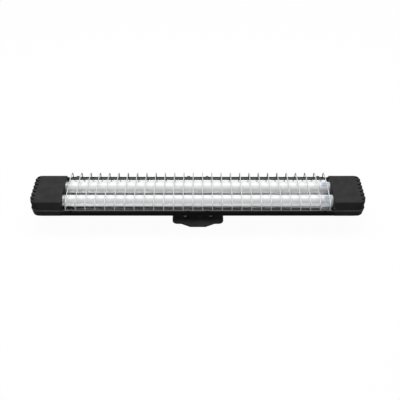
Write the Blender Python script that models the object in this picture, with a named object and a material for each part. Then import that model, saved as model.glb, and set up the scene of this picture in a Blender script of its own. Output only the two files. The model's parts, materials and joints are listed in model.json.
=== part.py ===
"""Twin tube light fixture with a hinged wire guard, on a tilting mounting bracket.

Metres, +Z up. The origin is the middle of the mounting plate's underside. +X runs along
the tubes, +Y points to the hinge side of the guard, and +Z is the side that gives light.
Heights in the housing, the clips and the guard count from the housing's flanges, and in a
tube from the tube's own axis.
"""
import math

import bmesh
import bpy
from mathutils import Matrix, Vector

# Clearances between pieces that touch or run in each other
TOUCH = 0.0003
RUNNING_GAP = 0.0006
HOLE_CLEARANCE = 0.0004
OVERRUN = 0.002

# The two tubes
TUBE_LENGTH = 0.5898
TUBE_DIAMETER = 0.0254
TUBE_SPACING = 0.0462
TUBE_WALL = 0.0012
SPINE_WALL = 0.0014
SPINE_HALF_ANGLE = 58
LED_BOARD_THICKNESS = 0.0010
LED_BOARD_DROP = 0.0066
LED_BOARD_EDGE_GAP = 0.0012
LED_LENGTH = 0.0028
LED_WIDTH = 0.0035
LED_HEIGHT = 0.0009
SOLDER_DEPTH = 0.0002
LED_COUNT = 24
DRIVER_SECTION_LENGTH = 0.0309
PLAIN_FERRULE_LENGTH = 0.0119
DRIVER_FERRULE_LENGTH = 0.0080
FERRULE_FACE = 0.0016
DRIVER_BOARD_THICKNESS = 0.0016
DRIVER_BOARD_EDGE_GAP = 0.0006
DRIVER_BOARD_END_GAP = 0.0020
COMPONENT_LENGTH = 0.0050
COMPONENT_WIDTH = 0.0090
COMPONENT_HEIGHT = 0.0050
COMPONENT_COUNT = 3
PIN_DIAMETER = 0.00235
PIN_SPACING = 0.0127
PIN_LENGTH = 0.0075
LABEL_LENGTH = 0.018
LABEL_THICKNESS = 0.0002
LABEL_START_ANGLE = 84
LABEL_END_ANGLE = 134

# Rotary lampholders and the brackets that carry them
HOLDER_FACE_GAP = 0.0006
HOLDER_DEPTH = 0.012
HOLDER_WIDTH = 0.0248
HOLDER_DROP = 0.020
ROTOR_DIAMETER = 0.019
ROTOR_DEPTH = 0.0088
ROTOR_SLOT_DEPTH = 0.0074
ENTRY_SLOT_WIDTH = 0.0034
HOLDER_BRACKET_THICKNESS = 0.0012
HOLDER_BRACKET_FOOT = 0.012
HOLDER_BRACKET_TOP = 0.009
HOLDER_BRACKET_SIDE_MARGIN = 0.002

# Housing tray, a folded sheet with a flange along each side
SHEET = 0.0012
TUBE_TO_FLANGE = 0.0180
FLANGE_WIDTH = 0.0084
LIP_HEIGHT = 0.0099
HOUSING_DEPTH = 0.032
BACK_WIDTH = 0.060
CAP_OVERLAP = 0.0059

# Reflector, a bright folded sheet under both tubes
REFLECTOR_SHEET = 0.0008
REFLECTOR_LIP_MARGIN = 0.0006
TUBE_TO_REFLECTOR = 0.0024
REFLECTOR_FLOOR_HALF = 0.0365
RIDGE_HEIGHT = 0.0065
RIDGE_HALF_WIDTH = 0.008

# End caps, the upper shells
CAP_LENGTH = 0.0673
CAP_WALL = 0.0020
CAP_TUBE_GAP = 0.0018
CAP_TUBE_SIDE_GAP = 0.0063
CAP_HOLE_GAP = 0.0008
CAP_LEDGE_WIDTH = 0.0048
CAP_LEDGE_HEIGHT = 0.0012
CAP_BROW_WIDTH = 0.0060
CAP_BROW_DROP = 0.0020
CAP_TOP_CORNER = 0.012
CAP_SIDE_CORNER = 0.020
CAP_END_STEP = 0.0006
CAP_LEDGE_DRAFT = 0.0028
CAP_RIM_DRAFT = 0.0070
CAP_SLOT_COUNT = 7
CAP_SLOT_PITCH = 0.0128
CAP_SLOT_WIDTH = 0.0040
CAP_SLOT_DEPTH = 0.0095
CAP_RIB_ROUND = 0.0032
CORNER_STEPS = 5
RIB_STEPS = 2

# End bases, the lower shells under the caps
BASE_END_DRAFT = 0.010
BASE_FLOOR_CORNER = 0.012
BOSS_DIAMETER = 0.007
BOSS_FROM_END = 0.026
CAP_SCREW_DIAMETER = 0.003
CAP_SCREW_LENGTH = 0.011
HEAD_SHARE = 2.1
SCREW_HEAD_HEIGHT = 0.0018

# Wire guard
WIRE_DIAMETER = 0.0020
HOOP_COUNT = 28
HOOP_END_MARGIN = 0.0109
HOOP_HEADROOM = 0.0097
HOOP_SQUARENESS = 3
HOOP_STEPS = 8
WIRE_SIDES = 6
WELD_DEPTH = 0.0004
BEND_LIMIT_SHARE = 0.001
HOOP_FOOT_GAP = 0.0005
HOOP_LEG_HEIGHT = 0.0092
RAIL_HEIGHT = 0.0025
RAIL_OVERHANG = 0.0030
CLIP_THICKNESS = 0.0008
CLIP_WIDTH = 0.006
CLIP_TAB_MARGIN = 0.0001
CLIP_RAIL_GAP = 0.0003
CLIP_CURL_ANGLE = 120
CLIP_LATCH_RISE = 0.0012
CLIP_STEPS = 7
STRIP_EDGE = 0.0001
FLANGE_SCREW_DIAMETER = 0.0028
FLANGE_SCREW_HEAD = 0.0048
FLANGE_SCREW_LENGTH = 0.0065
FLANGE_SCREW_PITCHES = (1, 13)

# Wiring
TERMINAL_LENGTH = 0.030
TERMINAL_WIDTH = 0.018
TERMINAL_HEIGHT = 0.011
TERMINAL_POLES = 3
TERMINAL_WELL = 0.0042
TERMINAL_WELL_DEPTH = 0.0024
TERMINAL_LEDGE_HEIGHT = 0.0060
TERMINAL_LEDGE_DEPTH = 0.0050
WIRE_INSULATION_DIAMETER = 0.0018
WIRE_LANE_SPACING = 0.0040
LEAD_STEPS = 24
EARTH_SCREW_DIAMETER = 0.004
EARTH_SCREW_LENGTH = 0.0038
GLAND_FROM_END = 0.0887
GLAND_TO_EARTH_SCREW = 0.035
GLAND_TO_TERMINAL = 0.065
GLAND_HOLE = 0.012
GLAND_BORE = 0.006
GLAND_FLANGE = 0.016
GLAND_FLANGE_THICKNESS = 0.0028

# Tilting bracket: mounting plate, ears, shoe and pivot bolt
PLATE_THICKNESS = 0.0040
PLATE_LENGTH = 0.111
WING_DEPTH = 0.0735
LOBE_DEPTH = 0.0945
LOBE_ROOT_WIDTH = 0.0735
LOBE_TIP_WIDTH = 0.0385
PLATE_CORNER = 0.0105
LOBE_CORNER = 0.0025
LOBE_SHOULDER_ANGLE = 30
MOUNT_SCREW_DIAMETER = 0.0045
MOUNT_SCREW_HEAD = 0.0085
MOUNT_SCREW_HEAD_HEIGHT = 0.0024
MOUNT_SCREW_X = 0.028
MOUNT_SCREW_Y = 0.013
PIVOT_HEIGHT = 0.013
PIVOT_TO_BACK = 0.009
PIVOT_DIAMETER = 0.004
EAR_THICKNESS = 0.003
EAR_RADIUS = 0.006
EAR_OUTER_X = 0.0203
SHOE_THICKNESS = 0.002
SHOE_LENGTH = 0.038
SHOE_WIDTH = 0.028
SHOE_SCREW_DIAMETER = 0.003
SHOE_SCREW_LENGTH = 0.0065
SHOE_SCREW_Y = 0.010
BOLT_HEAD_WIDTH = 0.007
BOLT_HEAD_HEIGHT = 0.0028
NUT_THICKNESS = 0.0032
BOLT_TAIL = 0.0012

# Facet counts
ROUND_SIDES = 24
SCREW_SIDES = 10
HOLE_SIDES = 12
HEX_SIDES = 6
ARC_STEPS = 16

# Sizes and places that follow from the ones above
TUBE_RADIUS = TUBE_DIAMETER / 2
TUBE_Y = TUBE_SPACING / 2
FLANGE_INNER = TUBE_Y + TUBE_RADIUS + TUBE_TO_FLANGE
HOUSING_HALF = FLANGE_INNER + FLANGE_WIDTH
BACK_HALF = BACK_WIDTH / 2
CAP_START = TUBE_LENGTH / 2 - CAP_OVERLAP
CAP_END = CAP_START + CAP_LENGTH
RIM_END = CAP_END - CAP_RIM_DRAFT
TRAY_HALF_LENGTH = CAP_START - TOUCH
BACK_LEVEL = PIVOT_HEIGHT + PIVOT_TO_BACK
FLANGE_LEVEL = BACK_LEVEL + HOUSING_DEPTH
CAP_TOP = TUBE_RADIUS + CAP_TUBE_GAP + CAP_WALL
CAP_TOP_HALF = TUBE_Y + TUBE_RADIUS + CAP_TUBE_SIDE_GAP
CAP_LEDGE_HALF = HOUSING_HALF - CAP_LEDGE_WIDTH
RAIL_Y = HOUSING_HALF - CLIP_THICKNESS - CLIP_RAIL_GAP - WIRE_DIAMETER / 2
FLANGE_SCREW_Y = RAIL_Y - WIRE_DIAMETER / 2 - TOUCH - FLANGE_SCREW_HEAD / 2
HOOP_HALF = RAIL_Y - WIRE_DIAMETER + WELD_DEPTH
HOOP_HEIGHT = TUBE_RADIUS + HOOP_HEADROOM
HOOP_PITCH = 2 * (CAP_START - HOOP_END_MARGIN) / (HOOP_COUNT - 1)
RAIL_HALF_LENGTH = CAP_START - HOOP_END_MARGIN + RAIL_OVERHANG
CLIP_BASE = RAIL_HEIGHT - WIRE_DIAMETER / 2 - CLIP_RAIL_GAP - CLIP_THICKNESS
CLIP_SCREW_XS = tuple(side * step * HOOP_PITCH for step in FLANGE_SCREW_PITCHES for side in (-1, 1))
FLOOR_LEVEL = -HOUSING_DEPTH + SHEET
HOLDER_X = TUBE_LENGTH / 2 + HOLDER_FACE_GAP
BOSS_X = CAP_END - BOSS_FROM_END
GLAND_X = GLAND_FROM_END - TRAY_HALF_LENGTH
EARTH_SCREW_X = GLAND_X + GLAND_TO_EARTH_SCREW
TERMINAL_X = GLAND_X + GLAND_TO_TERMINAL


def clear_objects():
    """Empty the scene."""
    for old in list(bpy.data.objects):
        bpy.data.objects.remove(old, do_unlink=True)


def finish(name, colour, roughness, metallic=0.0):
    """One plain Principled material."""
    material = bpy.data.materials.new(name)
    material.use_nodes = True
    shader = material.node_tree.nodes["Principled BSDF"]
    shader.inputs["Base Color"].default_value = (*colour, 1.0)
    shader.inputs["Roughness"].default_value = roughness
    shader.inputs["Metallic"].default_value = metallic
    return material


def empty(name, location, parent=None):
    """A frame that pieces hang from, such as a joint's axis."""
    frame = bpy.data.objects.new(name, None)
    frame.location = location
    frame.parent = parent
    bpy.context.scene.collection.objects.link(frame)
    return frame


def node(name, shape, parent, material, location=(0, 0, 0), smooth_angle=35):
    """Turn a bmesh into one named object of the assembly."""
    mesh = bpy.data.meshes.new(name)
    shape.to_mesh(mesh)
    shape.free()
    mesh.materials.append(material)
    mesh.shade_smooth()
    mesh.set_sharp_from_angle(angle=math.radians(smooth_angle))
    piece = bpy.data.objects.new(name, mesh)
    piece.location = location
    piece.parent = parent
    bpy.context.scene.collection.objects.link(piece)
    return piece


def helper(name, shape, parent, location=(0, 0, 0)):
    """A body that only cuts or joins others, and is no piece itself."""
    mesh = bpy.data.meshes.new(name)
    shape.to_mesh(mesh)
    shape.free()
    guide = bpy.data.objects.new(name, mesh)
    guide.location = location
    guide.parent = parent
    guide.hide_render = True
    guide.display_type = "WIRE"
    bpy.context.scene.collection.objects.link(guide)
    return guide


def combine(piece, other, operation):
    """Join a helper's body to a piece, or cut it away."""
    step = piece.modifiers.new(other.name, "BOOLEAN")
    step.operation = operation
    step.object = other
    step.solver = "EXACT"


def prism(outline, low, high, along="X"):
    """Extrude a flat outline along X (points y, z), Y (points x, z) or Z (points x, y)."""
    place = {
        "X": lambda u, v, w: (w, u, v),
        "Y": lambda u, v, w: (u, w, v),
        "Z": lambda u, v, w: (u, v, w),
    }[along]
    return loft([[place(u, v, w) for u, v in outline] for w in (low, high)])


def loft(rings, closed_loop=False):
    """Skin rings that have the same number of points, and close both ends."""
    shape = bmesh.new()
    loops = [[shape.verts.new(point) for point in ring] for ring in rings]
    count = len(rings[0])
    pairs = list(zip(loops, loops[1:]))
    if closed_loop:
        pairs.append((loops[-1], loops[0]))
    for below, above in pairs:
        for i in range(count):
            j = (i + 1) % count
            shape.faces.new((below[i], below[j], above[j], above[i]))
    if not closed_loop:
        shape.faces.new(loops[0])
        shape.faces.new(loops[-1])
    bmesh.ops.recalc_face_normals(shape, faces=shape.faces)
    return shape


def block(low, high):
    """A box between two corners."""
    outline = [(low[0], low[1]), (high[0], low[1]), (high[0], high[1]), (low[0], high[1])]
    return prism(outline, low[2], high[2], "Z")


def arc(centre, radius, start, end, steps):
    """Points on an arc, with both ends, from start to end in degrees."""
    angles = [math.radians(start + (end - start) * i / steps) for i in range(steps + 1)]
    return [(centre[0] + radius * math.cos(a), centre[1] + radius * math.sin(a)) for a in angles]


def circle(centre, radius, sides):
    """Points round a circle."""
    return arc(centre, radius, 0, 360, sides)[:-1]


def rod(radius, low, high, along="X", centre=(0, 0), sides=ROUND_SIDES):
    """A round bar."""
    return prism(circle(centre, radius, sides), low, high, along)


def turned(profile, sides, along="Z"):
    """Turn a profile of (radius, height) points. It ends on the axis, or closes on itself."""
    solid = profile[0][0] == 0
    inner = profile[1:-1] if solid else profile
    shape = bmesh.new()
    rings = []
    for radius, height in inner:
        rings.append([shape.verts.new((u, v, height)) for u, v in circle((0, 0), radius, sides)])
    pairs = list(zip(rings, rings[1:]))
    if not solid:
        pairs.append((rings[-1], rings[0]))
    for below, above in pairs:
        for i in range(sides):
            j = (i + 1) % sides
            shape.faces.new((below[i], below[j], above[j], above[i]))
    if solid:
        for ring in (rings[0], rings[-1]):
            shape.faces.new(ring)
    bmesh.ops.recalc_face_normals(shape, faces=shape.faces)
    if along == "X":
        shape.transform(Matrix.Rotation(math.radians(90), 4, "Y"))
    return shape


def shifted(path, distance):
    """Move an open path to its left by a distance, with mitred corners."""
    points = [Vector(p) for p in path]
    normals = []
    for a, b in zip(points, points[1:]):
        along = (b - a).normalized()
        normals.append(Vector((-along.y, along.x)))
    result = []
    for i, point in enumerate(points):
        before = normals[max(i - 1, 0)]
        after = normals[min(i, len(normals) - 1)]
        result.append(tuple(point + (before + after) * (distance / (1 + before.dot(after)))))
    return result


def strip(path, thickness):
    """Outline of a folded sheet whose outer side is the path and whose body is to its left."""
    return list(path) + shifted(path, thickness)[::-1]


def mirrored(half):
    """Complete an open path, given from its outer end to its middle, with its mirror image."""
    return list(half) + [(-u, v) for u, v in reversed(half) if abs(u) > 0]


def group(shapes):
    """Put separate closed bodies into one mesh."""
    result = bmesh.new()
    for shape in shapes:
        carried = bpy.data.meshes.new("carried")
        shape.to_mesh(carried)
        shape.free()
        result.from_mesh(carried)
        bpy.data.meshes.remove(carried)
    return result


def at(shape, offset):
    """Move a shape."""
    shape.transform(Matrix.Translation(Vector(offset)))
    return shape


def flip_x(shape):
    """Mirror a shape from the right end to the left end."""
    shape.transform(Matrix.Scale(-1, 4, (1, 0, 0)))
    bmesh.ops.reverse_faces(shape, faces=shape.faces)
    return shape


def screw(diameter, head_diameter, head_height, length, sides=SCREW_SIDES):
    """A pan-head screw that points down, with the underside of its head at z = 0."""
    crown_share = 0.72
    shoulder_share = 0.45
    profile = [
        (0, head_height),
        (head_diameter / 2 * crown_share, head_height),
        (head_diameter / 2, head_height * shoulder_share),
        (head_diameter / 2, 0),
        (diameter / 2, 0),
        (diameter / 2, -length),
        (0, -length),
    ]
    return turned(profile, sides)


def wire(path, diameter, sides=WIRE_SIDES):
    """A round wire along a path, with mitred bends and flat ends."""
    points = [Vector(p) for p in path]
    runs = [(b - a).normalized() for a, b in zip(points, points[1:])]
    side = runs[0].orthogonal().normalized()
    rings = []
    for i, point in enumerate(points):
        before = runs[max(i - 1, 0)]
        after = runs[min(i, len(runs) - 1)]
        along = (before + after).normalized()
        stretch = 1 / along.dot(before)
        side = (side - along * side.dot(along)).normalized()
        upright = along.cross(side)
        bend = after - before
        ring = []
        for u, v in circle((0, 0), diameter / 2, sides):
            spoke = side * u + upright * v
            if bend.length > BEND_LIMIT_SHARE:
                inward = bend.normalized()
                spoke += inward * spoke.dot(inward) * (stretch - 1)
            ring.append(point + spoke)
        rings.append(ring)
    return loft(rings)


def smooth_path(points, steps):
    """Points along a smooth curve through a route's own points."""
    route = [Vector(p) for p in points]
    route = [2 * route[0] - route[1]] + route + [2 * route[-1] - route[-2]]
    spans = len(route) - 3
    result = []
    for i in range(steps + 1):
        position = spans * i / steps
        k = min(int(position), spans - 1)
        t = position - k
        a, b, c, d = route[k:k + 4]
        place = 0.5 * (2 * b + (c - a) * t + (2 * a - 5 * b + 4 * c - d) * t * t
                       + (3 * b - a - 3 * c + d) * t * t * t)
        result.append(tuple(place))
    return result


def make_mount(frame, steel, black):
    """The plate that is screwed to the wall or ceiling, with two ears for the pivot bolt."""
    wing_x = PLATE_LENGTH / 2
    wing_y = WING_DEPTH / 2
    root_x = LOBE_ROOT_WIDTH / 2
    tip_x = LOBE_TIP_WIDTH / 2
    tip_y = LOBE_DEPTH / 2
    corner = arc((wing_x - PLATE_CORNER, wing_y - PLATE_CORNER), PLATE_CORNER, 0, 90, CORNER_STEPS)
    tip = arc((tip_x - LOBE_CORNER, tip_y - LOBE_CORNER), LOBE_CORNER, LOBE_SHOULDER_ANGLE, 90,
              RIB_STEPS)
    quarter = corner + [(root_x, wing_y)] + tip
    upper = quarter + [(-x, y) for x, y in reversed(quarter)]
    outline = upper + [(x, -y) for x, y in reversed(upper)]
    plate = node("mount_plate", prism(outline, 0, PLATE_THICKNESS, "Z"), frame, black)
    ear = [(EAR_RADIUS, PLATE_THICKNESS / 2)] + arc((0, PIVOT_HEIGHT), EAR_RADIUS, 0, 180, CORNER_STEPS)
    ear.append((-EAR_RADIUS, PLATE_THICKNESS / 2))
    ears = [prism(ear, side * EAR_OUTER_X, side * (EAR_OUTER_X - EAR_THICKNESS)) for side in (-1, 1)]
    combine(plate, helper("plate_ears", group(ears), frame), "UNION")
    spots = [(x, y) for x in (-MOUNT_SCREW_X, MOUNT_SCREW_X) for y in (-MOUNT_SCREW_Y, MOUNT_SCREW_Y)]
    hole = MOUNT_SCREW_DIAMETER / 2 + HOLE_CLEARANCE
    holes = [rod(hole, -OVERRUN, PLATE_THICKNESS + OVERRUN, "Z", spot, HOLE_SIDES) for spot in spots]
    holes.append(pivot_bore(EAR_OUTER_X + OVERRUN, PIVOT_HEIGHT))
    combine(plate, helper("plate_holes", group(holes), frame), "DIFFERENCE")
    # The screws' points end inside the plate, because the wall that they grip isn't here.
    shank = PLATE_THICKNESS - TOUCH
    for number, (x, y) in enumerate(spots, 1):
        pan = screw(MOUNT_SCREW_DIAMETER, MOUNT_SCREW_HEAD, MOUNT_SCREW_HEAD_HEIGHT, shank)
        node(f"mount_screw_{number}", pan, frame, steel, (x, y, PLATE_THICKNESS + TOUCH))


def pivot_bore(half_length, height):
    """Cutter for the pivot bolt's hole."""
    bore = PIVOT_DIAMETER / 2 + HOLE_CLEARANCE
    return rod(bore, -half_length, half_length, "X", (0, height), HOLE_SIDES)


def make_pivot(frame, steel):
    """Bolt through the four ears, and its nut."""
    outer = EAR_OUTER_X + TOUCH
    tail = outer + NUT_THICKNESS + BOLT_TAIL
    radius = PIVOT_DIAMETER / 2
    flats = BOLT_HEAD_WIDTH / 2 / math.cos(math.pi / HEX_SIDES)
    seat = (0, PIVOT_HEIGHT)
    head = circle((0, 0), flats, HEX_SIDES)
    shank = [(u * radius / flats, v * radius / flats) for u, v in head]
    rings = [[(x, u, v + PIVOT_HEIGHT) for u, v in ring] for x, ring in (
        (outer + BOLT_HEAD_HEIGHT, head), (outer, head), (outer, shank), (-tail, shank))]
    node("pivot_bolt", loft(rings), frame, steel)
    body = prism(circle(seat, flats, HEX_SIDES), -outer - NUT_THICKNESS, -outer)
    nut = node("pivot_nut", body, frame, steel)
    thread = rod(radius + HOLE_CLEARANCE, -tail - OVERRUN, -outer + OVERRUN, "X", seat, HOLE_SIDES)
    combine(nut, helper("nut_thread", thread, frame), "DIFFERENCE")


def make_shoe(frame, steel, black):
    """The shoe under the tray, whose ears turn between the plate's ears."""
    top = -HOUSING_DEPTH - TOUCH
    underside = top - SHOE_THICKNESS
    pivot = -HOUSING_DEPTH - PIVOT_TO_BACK
    base = block((-SHOE_LENGTH / 2, -SHOE_WIDTH / 2, underside), (SHOE_LENGTH / 2, SHOE_WIDTH / 2, top))
    shoe = node("tilt_shoe", base, frame, black)
    outer = EAR_OUTER_X - EAR_THICKNESS - TOUCH
    web = top - SHOE_THICKNESS / 2
    ear = [(-EAR_RADIUS, web)] + arc((0, pivot), EAR_RADIUS, 180, 360, CORNER_STEPS) + [(EAR_RADIUS, web)]
    ears = [prism(ear, side * outer, side * (outer - EAR_THICKNESS)) for side in (-1, 1)]
    combine(shoe, helper("shoe_ears", group(ears), frame), "UNION")
    spots = shoe_screw_spots()
    hole = SHOE_SCREW_DIAMETER / 2 + HOLE_CLEARANCE
    holes = [rod(hole, underside - OVERRUN, top + OVERRUN, "Z", spot, HOLE_SIDES) for spot in spots]
    holes.append(pivot_bore(SHOE_LENGTH / 2 + OVERRUN, pivot))
    combine(shoe, helper("shoe_holes", group(holes), frame), "DIFFERENCE")
    for number, (x, y) in enumerate(spots, 1):
        pan = screw(SHOE_SCREW_DIAMETER, SHOE_SCREW_DIAMETER * HEAD_SHARE, SCREW_HEAD_HEIGHT,
                    SHOE_SCREW_LENGTH)
        pan.transform(Matrix.Rotation(math.pi, 4, "X"))
        node(f"shoe_screw_{number}", pan, frame, steel, (x, y, underside - TOUCH))


def shoe_screw_spots():
    """Where the shoe is screwed to the tray."""
    return [(0, -SHOE_SCREW_Y), (0, SHOE_SCREW_Y)]


def flange_screw_spots():
    """Where the guard's clips are screwed to the two flanges."""
    return [(x, side * FLANGE_SCREW_Y) for side in (-1, 1) for x in CLIP_SCREW_XS]


def make_tray(frame, black):
    """Folded sheet tray: flat back, sloping sides, upright lips and flanges turned inwards."""
    half = [
        (FLANGE_INNER, 0),
        (HOUSING_HALF, 0),
        (HOUSING_HALF, -LIP_HEIGHT),
        (BACK_HALF, -HOUSING_DEPTH),
    ]
    outline = strip(mirrored(half), -SHEET)
    tray = node("housing_tray", prism(outline, -TRAY_HALF_LENGTH, TRAY_HALF_LENGTH), frame, black)
    flange_hole = FLANGE_SCREW_DIAMETER / 2 + HOLE_CLEARANCE
    shoe_hole = SHOE_SCREW_DIAMETER / 2 + HOLE_CLEARANCE
    earth_hole = EARTH_SCREW_DIAMETER / 2 + HOLE_CLEARANCE
    low = -HOUSING_DEPTH - OVERRUN
    high = FLOOR_LEVEL + OVERRUN
    holes = [rod(flange_hole, -SHEET - OVERRUN, OVERRUN, "Z", spot, HOLE_SIDES)
             for spot in flange_screw_spots()]
    holes += [rod(shoe_hole, low, high, "Z", spot, HOLE_SIDES) for spot in shoe_screw_spots()]
    holes.append(rod(GLAND_HOLE / 2, low, high, "Z", (GLAND_X, 0), ROUND_SIDES))
    holes.append(rod(earth_hole, low, high, "Z", (EARTH_SCREW_X, 0), HOLE_SIDES))
    combine(tray, helper("tray_holes", group(holes), frame), "DIFFERENCE")


def reflector_levels():
    """Height of the reflector's lip and floor, on their upper sides."""
    lip = -SHEET - TOUCH
    floor = -TUBE_RADIUS - TUBE_TO_REFLECTOR
    return lip, floor


def make_reflector(frame, bright):
    """Bright sheet with a lip under each flange, sloping wings and a ridge between the tubes."""
    lip, floor = reflector_levels()
    half = [
        (HOUSING_HALF - SHEET - REFLECTOR_LIP_MARGIN, lip),
        (FLANGE_INNER, lip),
        (REFLECTOR_FLOOR_HALF, floor),
        (RIDGE_HALF_WIDTH, floor),
        (0, floor + RIDGE_HEIGHT),
    ]
    outline = strip(mirrored(half), REFLECTOR_SHEET)
    reflector = node("reflector", prism(outline, -TRAY_HALF_LENGTH, TRAY_HALF_LENGTH), frame, bright)
    hole = FLANGE_SCREW_DIAMETER / 2 + HOLE_CLEARANCE
    low = lip - REFLECTOR_SHEET - OVERRUN
    holes = [rod(hole, low, lip + OVERRUN, "Z", spot, HOLE_SIDES) for spot in flange_screw_spots()]
    combine(reflector, helper("reflector_holes", group(holes), frame), "DIFFERENCE")


def for_side(side):
    """What takes a shape drawn at the right end to its own end."""
    return flip_x if side == "left" else (lambda shape: shape)


def end_ring(half_width, end_x, corner, start_x, height):
    """An end shell's plan outline at one height, square to the tray and with two round corners."""
    far = arc((end_x - corner, half_width - corner), corner, 0, 90, CORNER_STEPS)
    near = [(x, -y) for x, y in reversed(far)]
    points = [(start_x, -half_width)] + near + far + [(start_x, half_width)]
    return [(x, y, height) for x, y in points]


def vent_slots():
    """Cutters for the slots in a cap's end, with mouths that round the ribs between them."""
    root = CAP_END - CAP_SLOT_DEPTH
    half = CAP_SLOT_WIDTH / 2
    shoulder = CAP_END - CAP_RIB_ROUND
    mouth = arc((shoulder, half + CAP_RIB_ROUND), CAP_RIB_ROUND, -90, 0, RIB_STEPS)
    upper = [(root, half)] + mouth + [(CAP_END + OVERRUN, half + CAP_RIB_ROUND)]
    outline = upper + [(x, -y) for x, y in reversed(upper)]
    slots = []
    for i in range(CAP_SLOT_COUNT):
        y = (i - (CAP_SLOT_COUNT - 1) / 2) * CAP_SLOT_PITCH
        slots.append(at(prism(outline, -LIP_HEIGHT - OVERRUN, CAP_TOP + OVERRUN, "Z"), (0, y, 0)))
    return group(slots)


def cap_cavity():
    """The hollow inside a cap, open towards the base, with round corners that end before the slots."""
    end = CAP_END - CAP_SLOT_DEPTH - CAP_WALL
    levels = [
        (HOUSING_HALF - CAP_WALL, -LIP_HEIGHT - OVERRUN),
        (HOUSING_HALF - CAP_WALL, CAP_LEDGE_HEIGHT - CAP_WALL - CAP_END_STEP),
        (CAP_LEDGE_HALF - CAP_WALL, CAP_LEDGE_HEIGHT - CAP_WALL),
        (CAP_TOP_HALF - CAP_WALL, CAP_TOP - CAP_WALL),
    ]
    rings = []
    for half, height in levels:
        ring = end_ring(half, RIM_END - CAP_WALL, CAP_SIDE_CORNER - CAP_WALL, CAP_START + CAP_WALL, height)
        rings.append([(min(x, end), y, z) for x, y, z in ring])
    return loft(rings)


def boss_spots():
    """Where each cap is screwed to its base."""
    return [(BOSS_X, 0)]


def make_cap(side, frame, black):
    """Upper end shell with ribs at its end, two holes for the tubes and a screw boss."""
    start = CAP_START + CAP_END_STEP
    end = CAP_END - CAP_END_STEP
    ledge_end = CAP_END - CAP_LEDGE_DRAFT
    shell = loft([
        end_ring(HOUSING_HALF, RIM_END, CAP_SIDE_CORNER, CAP_START, -LIP_HEIGHT),
        end_ring(HOUSING_HALF, ledge_end, CAP_SIDE_CORNER, CAP_START, CAP_LEDGE_HEIGHT),
        end_ring(CAP_LEDGE_HALF, ledge_end - CAP_END_STEP, CAP_SIDE_CORNER, start, CAP_LEDGE_HEIGHT),
        end_ring(CAP_TOP_HALF + CAP_BROW_WIDTH, end, CAP_TOP_CORNER, start, CAP_TOP - CAP_BROW_DROP),
        end_ring(CAP_TOP_HALF, end, CAP_TOP_CORNER, start, CAP_TOP),
    ])
    turn = for_side(side)
    cap = node(side + "_end_cap", turn(shell), frame, black)
    combine(cap, helper(side + "_cap_hollow", turn(cap_cavity()), frame), "DIFFERENCE")
    combine(cap, helper(side + "_cap_slots", turn(vent_slots()), frame), "DIFFERENCE")
    low = -HOUSING_DEPTH + CAP_WALL + TOUCH
    roof = CAP_TOP - CAP_WALL / 2
    bosses = [rod(BOSS_DIAMETER / 2, low, roof, "Z", spot, HOLE_SIDES) for spot in boss_spots()]
    combine(cap, helper(side + "_cap_bosses", turn(group(bosses)), frame), "UNION")
    pilot = CAP_SCREW_DIAMETER / 2 + HOLE_CLEARANCE
    depth = low + CAP_SCREW_LENGTH
    cuts = [rod(pilot, low - OVERRUN, depth, "Z", spot, HOLE_SIDES) for spot in boss_spots()]
    mouth = TUBE_RADIUS + CAP_HOLE_GAP
    for y in (-TUBE_Y, TUBE_Y):
        cuts.append(rod(mouth, CAP_START - OVERRUN, CAP_START + CAP_WALL + OVERRUN / 2, "X", (y, 0)))
    combine(cap, helper(side + "_cap_holes", turn(group(cuts)), frame), "DIFFERENCE")


def make_base(side, frame, black):
    """Lower end shell under the cap, open to the cap and to the tray."""
    turn = for_side(side)
    rim = -LIP_HEIGHT - TOUCH
    floor_end = RIM_END - BASE_END_DRAFT
    outside = loft([
        end_ring(BACK_HALF, floor_end, BASE_FLOOR_CORNER, CAP_START, -HOUSING_DEPTH),
        end_ring(HOUSING_HALF, RIM_END, CAP_SIDE_CORNER, CAP_START, rim),
    ])
    base = node(side + "_end_base", turn(outside), frame, black)
    inside_start = CAP_START - OVERRUN
    slope_x = BASE_END_DRAFT / (HOUSING_DEPTH - LIP_HEIGHT)
    slope_y = (HOUSING_HALF - BACK_HALF) / (HOUSING_DEPTH - LIP_HEIGHT)
    floor = -HOUSING_DEPTH + CAP_WALL
    hollow = loft([
        end_ring(BACK_HALF - CAP_WALL + slope_y * CAP_WALL, floor_end - CAP_WALL + slope_x * CAP_WALL,
                 BASE_FLOOR_CORNER, inside_start, floor),
        end_ring(HOUSING_HALF - CAP_WALL + slope_y * OVERRUN, RIM_END - CAP_WALL + slope_x * OVERRUN,
                 CAP_SIDE_CORNER, inside_start, rim + OVERRUN),
    ])
    combine(base, helper(side + "_base_hollow", turn(hollow), frame), "DIFFERENCE")
    hole = CAP_SCREW_DIAMETER / 2 + HOLE_CLEARANCE
    low = -HOUSING_DEPTH - OVERRUN
    holes = [rod(hole, low, floor + OVERRUN, "Z", spot, HOLE_SIDES) for spot in boss_spots()]
    combine(base, helper(side + "_base_holes", turn(group(holes)), frame), "DIFFERENCE")


def make_cap_screws(frame, steel):
    """A screw from below, through each base into its cap's boss."""
    for end, side in (("left", -1), ("right", 1)):
        for x, y in boss_spots():
            pan = screw(CAP_SCREW_DIAMETER, CAP_SCREW_DIAMETER * HEAD_SHARE, SCREW_HEAD_HEIGHT,
                        CAP_SCREW_LENGTH)
            pan.transform(Matrix.Rotation(math.pi, 4, "X"))
            node(end + "_cap_screw", pan, frame, steel, (side * x, y, -HOUSING_DEPTH - TOUCH))


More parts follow.
